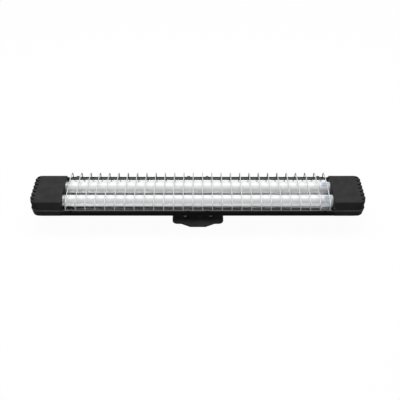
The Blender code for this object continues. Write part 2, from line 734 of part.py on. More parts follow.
def make_lampholders(side, frame, plastic, steel):
    """Two lampholder bodies at one end, and the steel bracket that they stand against."""
    turn = for_side(side)
    half = HOLDER_WIDTH / 2
    bore = ROTOR_DIAMETER / 2 + TOUCH
    for tube, y in (("front", -TUBE_Y), ("rear", TUBE_Y)):
        name = f"{tube}_{side}_lampholder"
        top = arc((y, 0), half, 0, 180, ARC_STEPS // 2)
        outline = [(y - half, -HOLDER_DROP), (y + half, -HOLDER_DROP)] + top
        holder = node(name, turn(prism(outline, HOLDER_X, HOLDER_X + HOLDER_DEPTH)), frame, plastic)
        seat = HOLDER_X + ROTOR_DEPTH + TOUCH
        hollow = rod(bore, HOLDER_X - OVERRUN, seat, "X", (y, 0))
        combine(holder, helper(name + "_bore", turn(hollow), frame), "DIFFERENCE")
        entry = block((HOLDER_X - OVERRUN / 2, y - ENTRY_SLOT_WIDTH / 2, ROTOR_DIAMETER / 4),
                      (seat - OVERRUN / 2, y + ENTRY_SLOT_WIDTH / 2, half + OVERRUN))
        combine(holder, helper(name + "_entry", turn(entry), frame), "DIFFERENCE")
    back = HOLDER_X + HOLDER_DEPTH + TOUCH
    foot = -HOUSING_DEPTH + CAP_WALL + TOUCH
    path = [(back + HOLDER_BRACKET_FOOT, foot), (back, foot), (back, HOLDER_BRACKET_TOP)]
    width = BACK_HALF - HOLDER_BRACKET_SIDE_MARGIN
    bracket = prism(strip(path, -HOLDER_BRACKET_THICKNESS), -width, width, "Y")
    node(side + "_lampholder_bracket", turn(bracket), frame, steel)


def arc_shell(outer, wall, start, end, low, high):
    """Part of a round tube's wall, between two angles."""
    outside = arc((0, 0), outer, start, end, ARC_STEPS)
    inside = arc((0, 0), outer - wall, end, start, ARC_STEPS)
    return prism(outside + inside, low, high)


def make_tube(name, frame, opal, anodised, bright, pale, board, paper, plastic):
    """One tube: opal cover, spine, LED board, driver section, ferrules with their pins, and label."""
    half = TUBE_LENGTH / 2
    left = -half + PLAIN_FERRULE_LENGTH
    right = half - DRIVER_FERRULE_LENGTH
    joint = right - DRIVER_SECTION_LENGTH + DRIVER_FERRULE_LENGTH
    gap_angle = math.degrees(TOUCH / TUBE_RADIUS)
    spine_start = 270 - SPINE_HALF_ANGLE
    spine_end = 270 + SPINE_HALF_ANGLE
    low = left + TOUCH
    high = joint - TOUCH
    cover_start = spine_end - 360 + gap_angle
    cover = arc_shell(TUBE_RADIUS, TUBE_WALL, cover_start, spine_start - gap_angle, low, high)
    node(name + "_diffuser", cover, frame, opal)
    spine = arc_shell(TUBE_RADIUS, SPINE_WALL, spine_start, spine_end, low, high)
    node(name + "_spine", spine, frame, anodised)
    inner = TUBE_RADIUS - SPINE_WALL
    seat = LED_BOARD_DROP + LED_BOARD_THICKNESS
    board_half = math.sqrt(inner * inner - seat * seat) - LED_BOARD_EDGE_GAP
    strip_board = block((low + TOUCH, -board_half, -seat), (high - TOUCH, board_half, -LED_BOARD_DROP))
    led_board = node(name + "_led_board", strip_board, frame, board)
    chip_pitch = (high - low) / LED_COUNT
    chips = []
    for i in range(LED_COUNT):
        chip_start = low + (i + 0.5) * chip_pitch - LED_LENGTH / 2
        bottom = -LED_BOARD_DROP - SOLDER_DEPTH
        chips.append(block((chip_start, -LED_WIDTH / 2, bottom),
                           (chip_start + LED_LENGTH, LED_WIDTH / 2, bottom + LED_HEIGHT)))
    combine(led_board, helper(name + "_led_chips", group(chips), frame), "UNION")
    ring = [(TUBE_RADIUS - TUBE_WALL, joint), (TUBE_RADIUS, joint),
            (TUBE_RADIUS, right - TOUCH), (TUBE_RADIUS - TUBE_WALL, right - TOUCH)]
    node(name + "_driver_cover", turned(ring, ROUND_SIDES, "X"), frame, pale)
    make_tube_driver(name, frame, joint, right, board)
    inner = TUBE_RADIUS - TUBE_WALL
    ferrules = (("left", -1, PLAIN_FERRULE_LENGTH), ("right", 1, DRIVER_FERRULE_LENGTH))
    for end, side, length in ferrules:
        profile = [(0, side * half), (TUBE_RADIUS, side * half), (TUBE_RADIUS, side * (half - length)),
                   (inner, side * (half - length)), (inner, side * (half - FERRULE_FACE)),
                   (0, side * (half - FERRULE_FACE))]
        ferrule = node(f"{name}_{end}_ferrule", turned(profile, ROUND_SIDES, "X"), frame, bright)
        ends = sorted((side * (half - FERRULE_FACE / 2), side * (half + PIN_LENGTH)))
        pins = [rod(PIN_DIAMETER / 2, *ends, "X", (row * PIN_SPACING / 2, 0), HOLE_SIDES)
                for row in (-1, 1)]
        combine(ferrule, helper(f"{name}_{end}_pins", group(pins), frame), "UNION")
    label = arc_shell(TUBE_RADIUS + TOUCH + LABEL_THICKNESS, LABEL_THICKNESS, LABEL_START_ANGLE,
                      LABEL_END_ANGLE, right - TOUCH - LABEL_LENGTH, right - TOUCH)
    node(name + "_label", label, frame, paper)
    for end, side in (("left", -1), ("right", 1)):
        ends = sorted((side * (HOLDER_X + TOUCH), side * (HOLDER_X + ROTOR_DEPTH)))
        rotor = node(f"{name}_{end}_rotor", rod(ROTOR_DIAMETER / 2 - TOUCH, *ends), frame, plastic)
        ends = sorted((side * (HOLDER_X - OVERRUN), side * (HOLDER_X + ROTOR_SLOT_DEPTH)))
        slot = block((ends[0], -ROTOR_DIAMETER, -ENTRY_SLOT_WIDTH / 2),
                     (ends[1], ROTOR_DIAMETER, ENTRY_SLOT_WIDTH / 2))
        combine(rotor, helper(f"{name}_{end}_rotor_slot", slot, frame), "DIFFERENCE")


def make_tube_driver(name, frame, joint, right, board):
    """The driver board inside the clear end section, with its components."""
    start = joint + DRIVER_BOARD_END_GAP
    end = right - DRIVER_BOARD_END_GAP
    bottom = -LED_BOARD_DROP
    half = math.sqrt((TUBE_RADIUS - TUBE_WALL) ** 2 - bottom ** 2) - DRIVER_BOARD_EDGE_GAP
    top = bottom + DRIVER_BOARD_THICKNESS
    driver = node(name + "_driver", block((start, -half, bottom), (end, half, top)), frame, board)
    components = []
    pitch = (end - start) / COMPONENT_COUNT
    for i in range(COMPONENT_COUNT):
        low = start + (i + 0.5) * pitch - COMPONENT_LENGTH / 2
        components.append(block((low, -COMPONENT_WIDTH / 2, top - SOLDER_DEPTH),
                                (low + COMPONENT_LENGTH, COMPONENT_WIDTH / 2, top + COMPONENT_HEIGHT)))
    combine(driver, helper(name + "_components", group(components), frame), "UNION")


def make_wiring(frame, plastic, steel, rubber, insulation):
    """Terminal block, earth screw, cable gland and a lead to each right lampholder."""
    base = FLOOR_LEVEL + TOUCH
    half = TERMINAL_WIDTH / 2
    ledge = half - TERMINAL_LEDGE_DEPTH
    outline = mirrored([(half, base), (half, base + TERMINAL_LEDGE_HEIGHT),
                        (ledge, base + TERMINAL_LEDGE_HEIGHT), (ledge, base + TERMINAL_HEIGHT)])
    start = TERMINAL_X - TERMINAL_LENGTH / 2
    body = node("terminal_block", prism(outline, start, start + TERMINAL_LENGTH), frame, plastic)
    pole = TERMINAL_LENGTH / TERMINAL_POLES
    top = base + TERMINAL_HEIGHT
    wells = []
    for i in range(TERMINAL_POLES):
        spot = (start + (i + 0.5) * pole, 0)
        well = rod(TERMINAL_WELL / 2, top - TERMINAL_WELL_DEPTH, top + OVERRUN, "Z", spot, HOLE_SIDES)
        wells.append(well)
    combine(body, helper("terminal_wells", group(wells), frame), "DIFFERENCE")
    earth = screw(EARTH_SCREW_DIAMETER, EARTH_SCREW_DIAMETER * HEAD_SHARE, SCREW_HEAD_HEIGHT,
                  EARTH_SCREW_LENGTH)
    node("earth_screw", earth, frame, steel, (EARTH_SCREW_X, 0, FLOOR_LEVEL + TOUCH))
    neck = GLAND_HOLE / 2 - TOUCH
    lip = GLAND_FLANGE / 2
    bore = GLAND_BORE / 2
    outer_face = -HOUSING_DEPTH - TOUCH
    inner_face = FLOOR_LEVEL + TOUCH
    profile = [(bore, outer_face - GLAND_FLANGE_THICKNESS), (lip, outer_face - GLAND_FLANGE_THICKNESS),
               (lip, outer_face), (neck, outer_face), (neck, inner_face), (lip, inner_face),
               (lip, inner_face + GLAND_FLANGE_THICKNESS), (bore, inner_face + GLAND_FLANGE_THICKNESS)]
    node("cable_gland", turned(profile, ROUND_SIDES), frame, rubber, (GLAND_X, 0, 0))
    for tube, route in zip(("front", "rear"), lead_routes()):
        node(tube + "_tube_lead", wire(route, WIRE_INSULATION_DIAMETER), frame, insulation)


def lead_routes():
    """Leads from the terminal block, along the tray's floor and up into the right lampholders."""
    radius = WIRE_INSULATION_DIAMETER / 2
    floor = FLOOR_LEVEL + radius + TOUCH
    base_floor = -HOUSING_DEPTH + CAP_WALL + radius + TOUCH
    lampholder = -HOLDER_DROP - TOUCH
    rise_x = HOLDER_X + HOLDER_DEPTH / 2
    height = FLOOR_LEVEL + TOUCH + TERMINAL_LEDGE_HEIGHT / 2
    exit_x = TERMINAL_X + TERMINAL_LENGTH / 2 + TOUCH
    step = WIRE_LANE_SPACING
    routes = []
    for row in (-1, 1):
        run_y = row * (SHOE_SCREW_Y + 2 * step)
        points = [
            (exit_x, row * step, height),
            (exit_x + 2 * step, row * step, height),
            (exit_x + 8 * step, run_y, floor),
            (0, run_y, floor),
            (rise_x - 12 * step, run_y, floor),
            (rise_x - 4 * step, row * TUBE_Y, base_floor),
            (rise_x - step / 2, row * TUBE_Y, lampholder - step),
            (rise_x, row * TUBE_Y, lampholder),
        ]
        routes.append(smooth_path(points, LEAD_STEPS))
    return routes


def make_clip_strips(frame, steel, black):
    """A strip on each flange: curled hinge clips on the far one, open latch clips on the near one."""
    centre = (RAIL_Y, RAIL_HEIGHT)
    outer = WIRE_DIAMETER / 2 + CLIP_RAIL_GAP + CLIP_THICKNESS
    tab = FLANGE_SCREW_Y - FLANGE_SCREW_HEAD / 2 - CLIP_TAB_MARGIN
    top = CLIP_BASE + CLIP_THICKNESS
    hinge = [(tab, CLIP_BASE)] + arc(centre, outer, -90, CLIP_CURL_ANGLE, CLIP_STEPS)
    latch = [(tab, CLIP_BASE)] + arc(centre, outer, -90, 0, CLIP_STEPS // 2)
    latch.append((RAIL_Y + outer, RAIL_HEIGHT + CLIP_LATCH_RISE))
    hole = FLANGE_SCREW_DIAMETER / 2 + HOLE_CLEARANCE
    for name, path, side, look in (("hinge_strip", hinge, 1, steel), ("latch_strip", latch, -1, black)):
        outline = strip(path, CLIP_THICKNESS)
        inner = tab + STRIP_EDGE
        outer_edge = HOOP_HALF - WIRE_DIAMETER / 2 - RUNNING_GAP
        low = CLIP_BASE + STRIP_EDGE
        high = top - STRIP_EDGE
        band = [(inner, low), (outer_edge, low), (outer_edge, high), (inner, high)]
        outline = [(side * y, z) for y, z in outline]
        band = [(side * y, z) for y, z in band]
        strip_piece = node(name, prism(band, -RAIL_HALF_LENGTH, RAIL_HALF_LENGTH), frame, look)
        clips = [prism(outline, x - CLIP_WIDTH / 2, x + CLIP_WIDTH / 2) for x in CLIP_SCREW_XS]
        combine(strip_piece, helper(name + "_clips", group(clips), frame), "UNION")
        spots = [(x, side * FLANGE_SCREW_Y) for x in CLIP_SCREW_XS]
        holes = [rod(hole, CLIP_BASE - OVERRUN, top + OVERRUN / 2, "Z", spot, HOLE_SIDES) for spot in spots]
        combine(strip_piece, helper(name + "_holes", group(holes), frame), "DIFFERENCE")
    for name, side in (("near", -1), ("far", 1)):
        for number, x in enumerate(CLIP_SCREW_XS, 1):
            pan = screw(FLANGE_SCREW_DIAMETER, FLANGE_SCREW_HEAD, SCREW_HEAD_HEIGHT, FLANGE_SCREW_LENGTH)
            spot = (x, side * FLANGE_SCREW_Y, top + TOUCH)
            node(f"{name}_flange_screw_{number}", pan, frame, steel, spot)


def hoop_path(x):
    """One hoop: two upright legs joined by a squared arch."""
    power = 2 / HOOP_SQUARENESS
    quarter = []
    for i in range(HOOP_STEPS // 2):
        angle = math.pi * i / HOOP_STEPS
        rise = (HOOP_HEIGHT - HOOP_LEG_HEIGHT) * math.sin(angle) ** power
        quarter.append((HOOP_HALF * math.cos(angle) ** power, HOOP_LEG_HEIGHT + rise))
    half = [(HOOP_HALF, HOOP_FOOT_GAP)] + quarter + [(0, HOOP_HEIGHT)]
    return [(x, y, z) for y, z in mirrored(half)]


def make_guard(frame, offset, bright):
    """The wire guard: hoops welded to a rail along each side."""
    rails = []
    for side in (-1, 1):
        ends = [(x, side * RAIL_Y, RAIL_HEIGHT) for x in (-RAIL_HALF_LENGTH, RAIL_HALF_LENGTH)]
        rails.append(wire(ends, WIRE_DIAMETER))
    guard = node("wire_guard", group(rails), frame, bright, offset)
    xs = [(i - (HOOP_COUNT - 1) / 2) * HOOP_PITCH for i in range(HOOP_COUNT)]
    hoops = [wire(hoop_path(x), WIRE_DIAMETER) for x in xs]
    combine(guard, helper("guard_hoops", group(hoops), frame, offset), "UNION")


def main():
    clear_objects()
    black = finish("black_paint", (0.035, 0.036, 0.038), 0.45)
    cap_black = finish("black_plastic", (0.045, 0.045, 0.047), 0.5)
    bright = finish("polished_aluminium", (0.86, 0.87, 0.88), 0.18, 1.0)
    bright_wire = finish("bright_wire", (0.60, 0.61, 0.62), 0.28, 1.0)
    steel = finish("zinc_steel", (0.55, 0.55, 0.54), 0.38, 1.0)
    anodised = finish("dark_anodised", (0.10, 0.105, 0.11), 0.35, 1.0)
    opal = finish("opal_cover", (0.88, 0.88, 0.88), 0.35)
    pale = finish("clear_cover", (0.70, 0.76, 0.82), 0.3)
    board = finish("circuit_board", (0.80, 0.82, 0.80), 0.5)
    paper = finish("label_film", (0.52, 0.58, 0.66), 0.5)
    white = finish("white_plastic", (0.80, 0.80, 0.78), 0.45)
    rubber = finish("black_rubber", (0.02, 0.02, 0.02), 0.8)
    insulation = finish("wire_insulation", (0.35, 0.38, 0.42), 0.5)

    mount = empty("mount_frame", (0, 0, 0))
    tilt_axis = empty("tilt_axis", (0, 0, PIVOT_HEIGHT), mount)
    flanges = empty("flange_level", (0, 0, FLANGE_LEVEL - PIVOT_HEIGHT), tilt_axis)
    guard_axis = empty("guard_axis", (0, RAIL_Y, RAIL_HEIGHT), flanges)
    near_axis = empty("front_tube_axis", (0, -TUBE_Y, 0), flanges)
    far_axis = empty("rear_tube_axis", (0, TUBE_Y, 0), flanges)

    make_mount(mount, steel, black)
    make_pivot(mount, steel)
    make_tray(flanges, black)
    make_shoe(flanges, steel, black)
    make_reflector(flanges, bright)
    for side in ("left", "right"):
        make_cap(side, flanges, cap_black)
        make_base(side, flanges, cap_black)
        make_lampholders(side, flanges, white, steel)
    make_cap_screws(flanges, steel)
    make_wiring(flanges, white, steel, rubber, insulation)
    make_clip_strips(flanges, steel, black)
    make_guard(guard_axis, (0, -RAIL_Y, -RAIL_HEIGHT), bright_wire)
    for name, axis in (("front_tube", near_axis), ("rear_tube", far_axis)):
        make_tube(name, axis, opal, anodised, bright, pale, board, paper, white)


main()
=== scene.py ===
# %% [markdown]
# # A twin tube light fixture, dressed in Blender
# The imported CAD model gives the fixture's real sizes and its moving bodies. This
# lesson puts the finished surfaces on it: round wires, soft edges, plated screws,
# opal plastic and painted sheet. We load the model first and note its outer box,
# because nothing that we add may reach outside it.

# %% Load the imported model
import json
import math

import bmesh
import bpy
from mathutils import Matrix, Vector


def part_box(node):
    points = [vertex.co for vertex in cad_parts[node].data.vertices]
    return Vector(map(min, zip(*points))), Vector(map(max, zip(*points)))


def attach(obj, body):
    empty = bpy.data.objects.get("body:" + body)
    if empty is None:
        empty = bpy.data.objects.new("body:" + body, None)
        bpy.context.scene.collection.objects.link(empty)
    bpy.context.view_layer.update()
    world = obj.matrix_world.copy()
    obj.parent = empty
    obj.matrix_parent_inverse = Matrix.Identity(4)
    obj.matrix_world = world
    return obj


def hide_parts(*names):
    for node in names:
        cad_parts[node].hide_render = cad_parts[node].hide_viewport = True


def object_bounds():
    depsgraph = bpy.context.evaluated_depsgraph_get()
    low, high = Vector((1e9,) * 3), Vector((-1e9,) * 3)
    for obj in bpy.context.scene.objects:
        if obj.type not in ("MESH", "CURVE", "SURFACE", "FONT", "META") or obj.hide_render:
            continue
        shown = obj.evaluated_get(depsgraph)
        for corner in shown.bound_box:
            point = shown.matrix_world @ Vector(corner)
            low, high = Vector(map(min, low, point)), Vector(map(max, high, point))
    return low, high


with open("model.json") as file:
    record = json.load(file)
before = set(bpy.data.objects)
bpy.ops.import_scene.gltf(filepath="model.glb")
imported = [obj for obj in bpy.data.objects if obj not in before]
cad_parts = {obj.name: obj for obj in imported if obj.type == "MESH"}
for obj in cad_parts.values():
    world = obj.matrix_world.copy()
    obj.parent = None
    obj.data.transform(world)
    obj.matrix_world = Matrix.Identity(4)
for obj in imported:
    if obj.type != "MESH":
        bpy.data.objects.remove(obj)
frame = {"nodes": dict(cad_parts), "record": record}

cad_box = [list(corner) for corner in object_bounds()]
print("CAD box:", cad_box)

# %% [markdown]
# ## The camera
# The photograph looks down at 38 degrees, square to the fixture's long side, from
# about a metre and a half. A camera's view is settled by three things: where it
# stands, how it is turned and its focal length. We aim from the middle of the
# flanges' level, because that is the plane that was measured in the photograph.

# %% Camera
FRAME_PIXELS = 400
FOCAL_PIXELS = 709
SENSOR_MM = 36
CAMERA_DISTANCE = 1.5396
CAMERA_DROP = 0.0128
CAMERA_SIDESTEP = 0.0046
DEGREES_DOWN = 38
look_down = math.radians(DEGREES_DOWN)

flange_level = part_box("housing_tray")[1].z
forward = Vector((0, math.cos(look_down), -math.sin(look_down)))
upward = Vector((0, math.sin(look_down), math.cos(look_down)))
camera_data = bpy.data.cameras.new("photo_camera")
camera_data.sensor_width = SENSOR_MM
camera_data.lens = SENSOR_MM * FOCAL_PIXELS / FRAME_PIXELS
camera = bpy.data.objects.new("photo_camera", camera_data)
camera.location = (Vector((CAMERA_SIDESTEP, 0, flange_level))
                   - forward * CAMERA_DISTANCE - upward * CAMERA_DROP)
camera.rotation_euler = (math.pi / 2 - look_down, 0, 0)
bpy.context.scene.collection.objects.link(camera)
bpy.context.scene.camera = camera
bpy.context.scene.view_settings.view_transform = "Standard"
print("Camera at", tuple(round(v, 3) for v in camera.location))

# %% [markdown]
# ## The studio
# The fixture lies on its mounting plate on a white floor. One wide lamp overhead
# does most of the work, and a weaker one in front keeps the lower sides readable.
# The floor is white to the camera and to reflections, but it still takes part of
# its brightness from the lamps, so a soft shadow stays under the fixture. Every
# material is a tree of nodes, and a few helpers keep those trees short to write.

# %% Helpers for nodes
def next_node(kind, *values):
    """A new node in the tree that holds these values' sockets."""
    holds = next(value.id_data for value in values if isinstance(value, bpy.types.NodeSocket))
    return holds.nodes.new(kind)


def feed(value, place):
    """Link a socket into an input, or set a plain number, vector or colour on it."""
    if isinstance(value, bpy.types.NodeSocket):
        place.id_data.links.new(value, place)
    else:
        place.default_value = (*value, 1) if place.type == "RGBA" else value


def math_node(operation, first, second):
    """A Math node between two sockets or numbers."""
    step = next_node("ShaderNodeMath", first, second)
    step.operation = operation
    feed(first, step.inputs[0])
    feed(second, step.inputs[1])
    return step.outputs[0]


def map_range(value, start=0.0, full=1.0, low=0.0, high=1.0, smooth=False):
    """Turn what lies between start and full into low to high, and hold it there."""
    step = next_node("ShaderNodeMapRange", value)
    step.interpolation_type = "SMOOTHSTEP" if smooth else "LINEAR"
    for label, given in (("Value", value), ("From Min", start), ("From Max", full),
                         ("To Min", low), ("To Max", high)):
        feed(given, step.inputs[label])
    return step.outputs["Result"]


def seen_directly(tree):
    """1 for camera, glossy and transmission rays, which should meet a plain white backdrop."""
    path = tree.nodes.new("ShaderNodeLightPath").outputs
    either = math_node("MAXIMUM", path["Is Camera Ray"], path["Is Glossy Ray"])
    return math_node("MAXIMUM", either, path["Is Transmission Ray"])


# %% Floor
FLOOR_SIZE = 12
FLOOR_GREY = 0.25
FLOOR_GLOW = 1.12
FLOOR_SELF_LIGHT_SHARE = 0.86
floor_material = bpy.data.materials.new("studio_floor")
floor_material.use_nodes = True
tree = floor_material.node_tree
tree.nodes.clear()
paper = tree.nodes.new("ShaderNodeBsdfDiffuse")
feed([FLOOR_GREY] * 3, paper.inputs["Color"])
glow = tree.nodes.new("ShaderNodeEmission")
feed(FLOOR_GLOW, glow.inputs["Strength"])
mix = tree.nodes.new("ShaderNodeMixShader")
share = math_node("MULTIPLY", seen_directly(tree), FLOOR_SELF_LIGHT_SHARE)
for place, source in zip(mix.inputs, (share, paper.outputs[0], glow.outputs[0])):
    feed(source, place)
feed(mix.outputs[0], tree.nodes.new("ShaderNodeOutputMaterial").inputs["Surface"])

floor_mesh = bpy.data.meshes.new("studio_floor")
half = FLOOR_SIZE / 2
corners = [(-half, -half, 0), (half, -half, 0), (half, half, 0), (-half, half, 0)]
floor_mesh.from_pydata(corners, [], [(0, 1, 2, 3)])
floor_mesh.materials.append(floor_material)
floor = bpy.data.objects.new("studio_floor", floor_mesh)
floor.location.z = cad_box[0][2]
bpy.context.scene.collection.objects.link(floor)
print("Floor at", floor.location.z)

# %% World and lamps
WORLD_STRENGTH = 0.25
BACKDROP_STRENGTH = 1.0
# name, place, size and power
LAMPS = [("overhead_softbox", (0, 0.35, 1.6), (2.2, 0.9), 30),
         ("front_softbox", (-0.5, -1.7, 0.8), (1.6, 0.8), 4)]
world = bpy.data.worlds.new("studio_world")
world.use_nodes = True
tree = world.node_tree
background = tree.nodes["Background"]
feed((1, 1, 1), background.inputs["Color"])
strength = map_range(seen_directly(tree), low=WORLD_STRENGTH, high=BACKDROP_STRENGTH)
feed(strength, background.inputs["Strength"])
bpy.context.scene.world = world

for name, place, size, power in LAMPS:
    data = bpy.data.lights.new(name, "AREA")
    data.shape = "RECTANGLE"
    data.size, data.size_y = size
    data.energy = power
    lamp = bpy.data.objects.new(name, data)
    lamp.location = place
    lamp.rotation_euler = (-Vector(place)).to_track_quat("-Z", "Y").to_euler()
    bpy.context.scene.collection.objects.link(lamp)

# %% [markdown]
# ## Shared surface effects
# Real surfaces are never one flat colour. Six small effects do most of the work
# here. Most of them serve several materials, so each is a node group with named
# sockets, built once: the fine grain of a moulding or a powder coat, the long
# streaks of rolled and drawn metal, worn edges, a film of dust on what faces up
# that on the black finishes also paints light onto top faces, painted light on the
# mounting plate where the housing's shadow ends, and painted light on the sides of
# a wire that face the lamps, with painted shade on its flanks. A group puts out only
# masks and heights. The shader that uses them stays in its own material, where its
# plain values can be read.

# %% Helpers for node groups
def start_group(name, inputs, outputs):
    """An empty node group, with what it takes in and what it has to put out."""
    group = bpy.data.node_groups.new(name, "ShaderNodeTree")
    sockets = [(label, "INPUT") for label in inputs] + [(label, "OUTPUT") for label in outputs]
    for label, way in sockets:
        socket = group.interface.new_socket(name=label, in_out=way, socket_type="NodeSocketFloat")
        socket.default_value = inputs.get(label, 0)
    inlet, outlet = group.nodes.new("NodeGroupInput"), group.nodes.new("NodeGroupOutput")
    return group, inlet.outputs, outlet.inputs


def product(*factors):
    """Several sockets or numbers, multiplied."""
    whole = factors[0]
    for factor in factors[1:]:
        whole = math_node("MULTIPLY", whole, factor)
    return whole


def own_place(tree):
    """A point in its piece's own coordinates, in metres, which move with the piece."""
    return tree.nodes.new("ShaderNodeTexCoord").outputs["Object"]


def facing(tree):
    """The way that the surface faces, in the studio's axes."""
    return tree.nodes.new("ShaderNodeNewGeometry").outputs["Normal"]


def component(vector, axis):
    """How far a vector goes along X, Y or Z."""
    split = next_node("ShaderNodeSeparateXYZ", vector)
    feed(vector, split.inputs[0])
    return split.outputs[axis]


def noise_node(scale, detail, stretch=None):
    """Noise that moves with the piece, and may be stretched."""
    vector = own_place(scale.id_data)
    if stretch:
        mapping = next_node("ShaderNodeMapping", vector)
        feed(stretch, mapping.inputs["Scale"])
        feed(vector, mapping.inputs["Vector"])
        vector = mapping.outputs["Vector"]
    texture = next_node("ShaderNodeTexNoise", vector)
    for label, value in (("Vector", vector), ("Scale", scale), ("Detail", detail)):
        feed(value, texture.inputs[label])
    return texture.outputs["Fac"]


# %% Grain of mouldings and powder coat
grain_group, inlet, outlet = start_group(
    "surface_grain", {"Scale": 2500, "Cloud Scale": 30}, ["Height", "Cloud"])
feed(noise_node(inlet["Scale"], detail=2), outlet["Height"])
feed(noise_node(inlet["Cloud Scale"], detail=4), outlet["Cloud"])

# %% Streaks of rolled sheet, extrusions and drawn wire, all along X
LONG_IN_X = (0.02, 1, 1)
streak_group, inlet, outlet = start_group("rolled_streaks", {"Scale": 900}, ["Streak"])
streak = noise_node(inlet["Scale"], detail=3, stretch=LONG_IN_X)
feed(streak, outlet["Streak"])

# %% Wear on outward edges
EDGE_POINTINESS = (0.515, 0.60)
wear_group, inlet, outlet = start_group("edge_wear", {"Amount": 0.5, "Break Up": 160}, ["Wear"])
pointiness = wear_group.nodes.new("ShaderNodeNewGeometry").outputs["Pointiness"]
edge = map_range(pointiness, *EDGE_POINTINESS)
patches = noise_node(inlet["Break Up"], detail=5)
feed(product(edge, patches, inlet["Amount"]), outlet["Wear"])

# %% Dust on what faces up, which on the black finishes is painted light on top faces
UP_FACING_SLOPE = (0.5, 1.0)
dust_and_top_light_group, inlet, outlet = start_group("dust_and_painted_top_light", {"Amount": 0.3, "Scale": 60}, ["Dust"])
facing_up = map_range(component(facing(dust_and_top_light_group), "Z"), *UP_FACING_SLOPE)
specks = noise_node(inlet["Scale"], detail=6)
feed(product(facing_up, specks, inlet["Amount"]), outlet["Dust"])

# %% Painted light beyond a sheltering edge, where its shadow ends
OPEN_SLOPE = (0.7, 1.0)
painted_plate_light_group, inlet, outlet = start_group(
    "painted_light_past_shadow", {"Sheltered": 0.02, "Open": 0.04, "Amount": 0.3}, ["Dust"])
to_front = product(component(own_place(painted_plate_light_group), "Y"), -1)
way_out = map_range(to_front, inlet["Sheltered"], inlet["Open"], smooth=True)
facing_up = map_range(component(facing(painted_plate_light_group), "Z"), *OPEN_SLOPE)
feed(product(way_out, facing_up, inlet["Amount"]), outlet["Dust"])

# %% Painted light and shade on a wire: pale on its top and on the front of the guard's legs, which face the lamps, and dark on its flanks
LAMP_SIDE = (0, -0.35, 0.94)
LAMP_SLOPE = (0.50, 0.92)
LEGS_FROM_Y = (-0.050, -0.058)
painted_light_and_shade_group, inlet, outlet = start_group("painted_lamp_side", {}, ["Lit"])
to_lamp = painted_light_and_shade_group.nodes.new("ShaderNodeVectorMath")
to_lamp.operation = "DOT_PRODUCT"
feed(facing(painted_light_and_shade_group), to_lamp.inputs[0])
feed(LAMP_SIDE, to_lamp.inputs[1])
top = map_range(to_lamp.outputs["Value"], *LAMP_SLOPE)
legs = map_range(component(own_place(painted_light_and_shade_group), "Y"), *LEGS_FROM_Y)
front = product(legs, component(facing(painted_light_and_shade_group), "Y"), -1)
feed(math_node("MAXIMUM", top, front), outlet["Lit"])
print("Node groups:", [g.name for g in bpy.data.node_groups])

# %% [markdown]
# ## Materials
# A material starts from one Principled shader whose plain values (metal or not,
# how rough, how bright) are set on its own sockets. What changes over the surface
# comes from the groups above: the colour drifts a little, edges show what lies
# under the paint, and a bump gives the grain. One helper wires this, so that each
# material reads as a short list of what makes it different.

# %% Use a group, and blend by a mask
def use_group(tree, group, **values):
    """Place a node group in a material, with its own values."""
    holder = tree.nodes.new("ShaderNodeGroup")
    holder.node_tree = group
    for label, value in values.items():
        feed(value, holder.inputs[label])
    return holder.outputs


def mixed(mask, first, second, colours=True):
    """Blend two colours or two values by a mask. Each is a socket or a plain value."""
    blend = next_node("ShaderNodeMix", mask)
    blend.data_type = "RGBA" if colours else "FLOAT"
    kind = "Color" if colours else "Float"
    for label, value in (("Factor_Float", mask), ("A_" + kind, first), ("B_" + kind, second)):
        feed(value, next(s for s in blend.inputs if s.identifier == label))
    return next(s for s in blend.outputs if s.identifier == "Result_" + kind)


# %% A whole material
DUST_AND_LIGHT_COLOUR = (0.42, 0.41, 0.39)


def surface(name, colour, drift, rough, metallic=0.0, grain=(1500, 0), streaks=None, painted_flank_shade=None,
            wear=None, dust_and_top_light=None, **plain):
    """A Principled material.

    colour and drift are two colours that a soft cloud blends. rough is a range. grain and
    streaks are (scale, height in metres). flank is the colour of what doesn't face the
    lamps, painted shade beside a painted highlight on what does. wear is (amount, colour,
    roughness of the bare edge) and dust is an amount of dust, which on the black finishes
    also paints light onto top faces.
    plain holds sockets that are the same all over.
    """
    material = bpy.data.materials.new(name)
    material.use_nodes = True
    tree = material.node_tree
    sockets = tree.nodes["Principled BSDF"].inputs
    feed(metallic, sockets["Metallic"])
    for label, value in plain.items():
        feed(value, sockets[label.replace("_", " ")])
    cloud = use_group(tree, grain_group, Scale=grain[0])
    texture, height, gloss = cloud["Height"], grain[1], cloud["Cloud"]
    paint = mixed(cloud["Cloud"], colour, drift)
    if streaks:
        texture = gloss = use_group(tree, streak_group, Scale=streaks[0])["Streak"]
        height = streaks[1]
    roughness = map_range(gloss, 0, 1, *rough)
    # Painted shade on the sides that don't face the lamps, and a painted highlight on those that
    # do.
    if painted_flank_shade:
        paint = mixed(use_group(tree, painted_light_and_shade_group)["Lit"], painted_flank_shade, paint)
    if wear:
        bare = use_group(tree, wear_group, Amount=wear[0])["Wear"]
        paint = mixed(bare, paint, wear[1])
        roughness = mixed(bare, roughness, wear[2], colours=False)
    # Dust on what faces up; on the black finishes this is painted light on top faces.
    if dust_and_top_light:
        paint = mixed(use_group(tree, dust_and_top_light_group, Amount=dust_and_top_light)["Dust"], paint, DUST_AND_LIGHT_COLOUR)
    feed(paint, sockets["Base Color"])
    feed(roughness, sockets["Roughness"])
    if height:
        bump = tree.nodes.new("ShaderNodeBump")
        feed(height, bump.inputs["Distance"])
        feed(texture, bump.inputs["Height"])
        feed(bump.outputs["Normal"], sockets["Normal"])
    return material


# %% One more colour on a material
def tint(material, mask, colour):
    """Blend one more colour over a material's own, by a mask."""
    base = material.node_tree.nodes["Principled BSDF"].inputs["Base Color"]
    feed(mixed(mask, base.links[0].from_socket, colour), base)


def within(tree, axis, middle, reach):
    """1 where a point lies within a reach of a place along one axis."""
    away = math_node("SUBTRACT", component(own_place(tree), axis), middle)
    return math_node("LESS_THAN", math_node("ABSOLUTE", away, 0), reach)
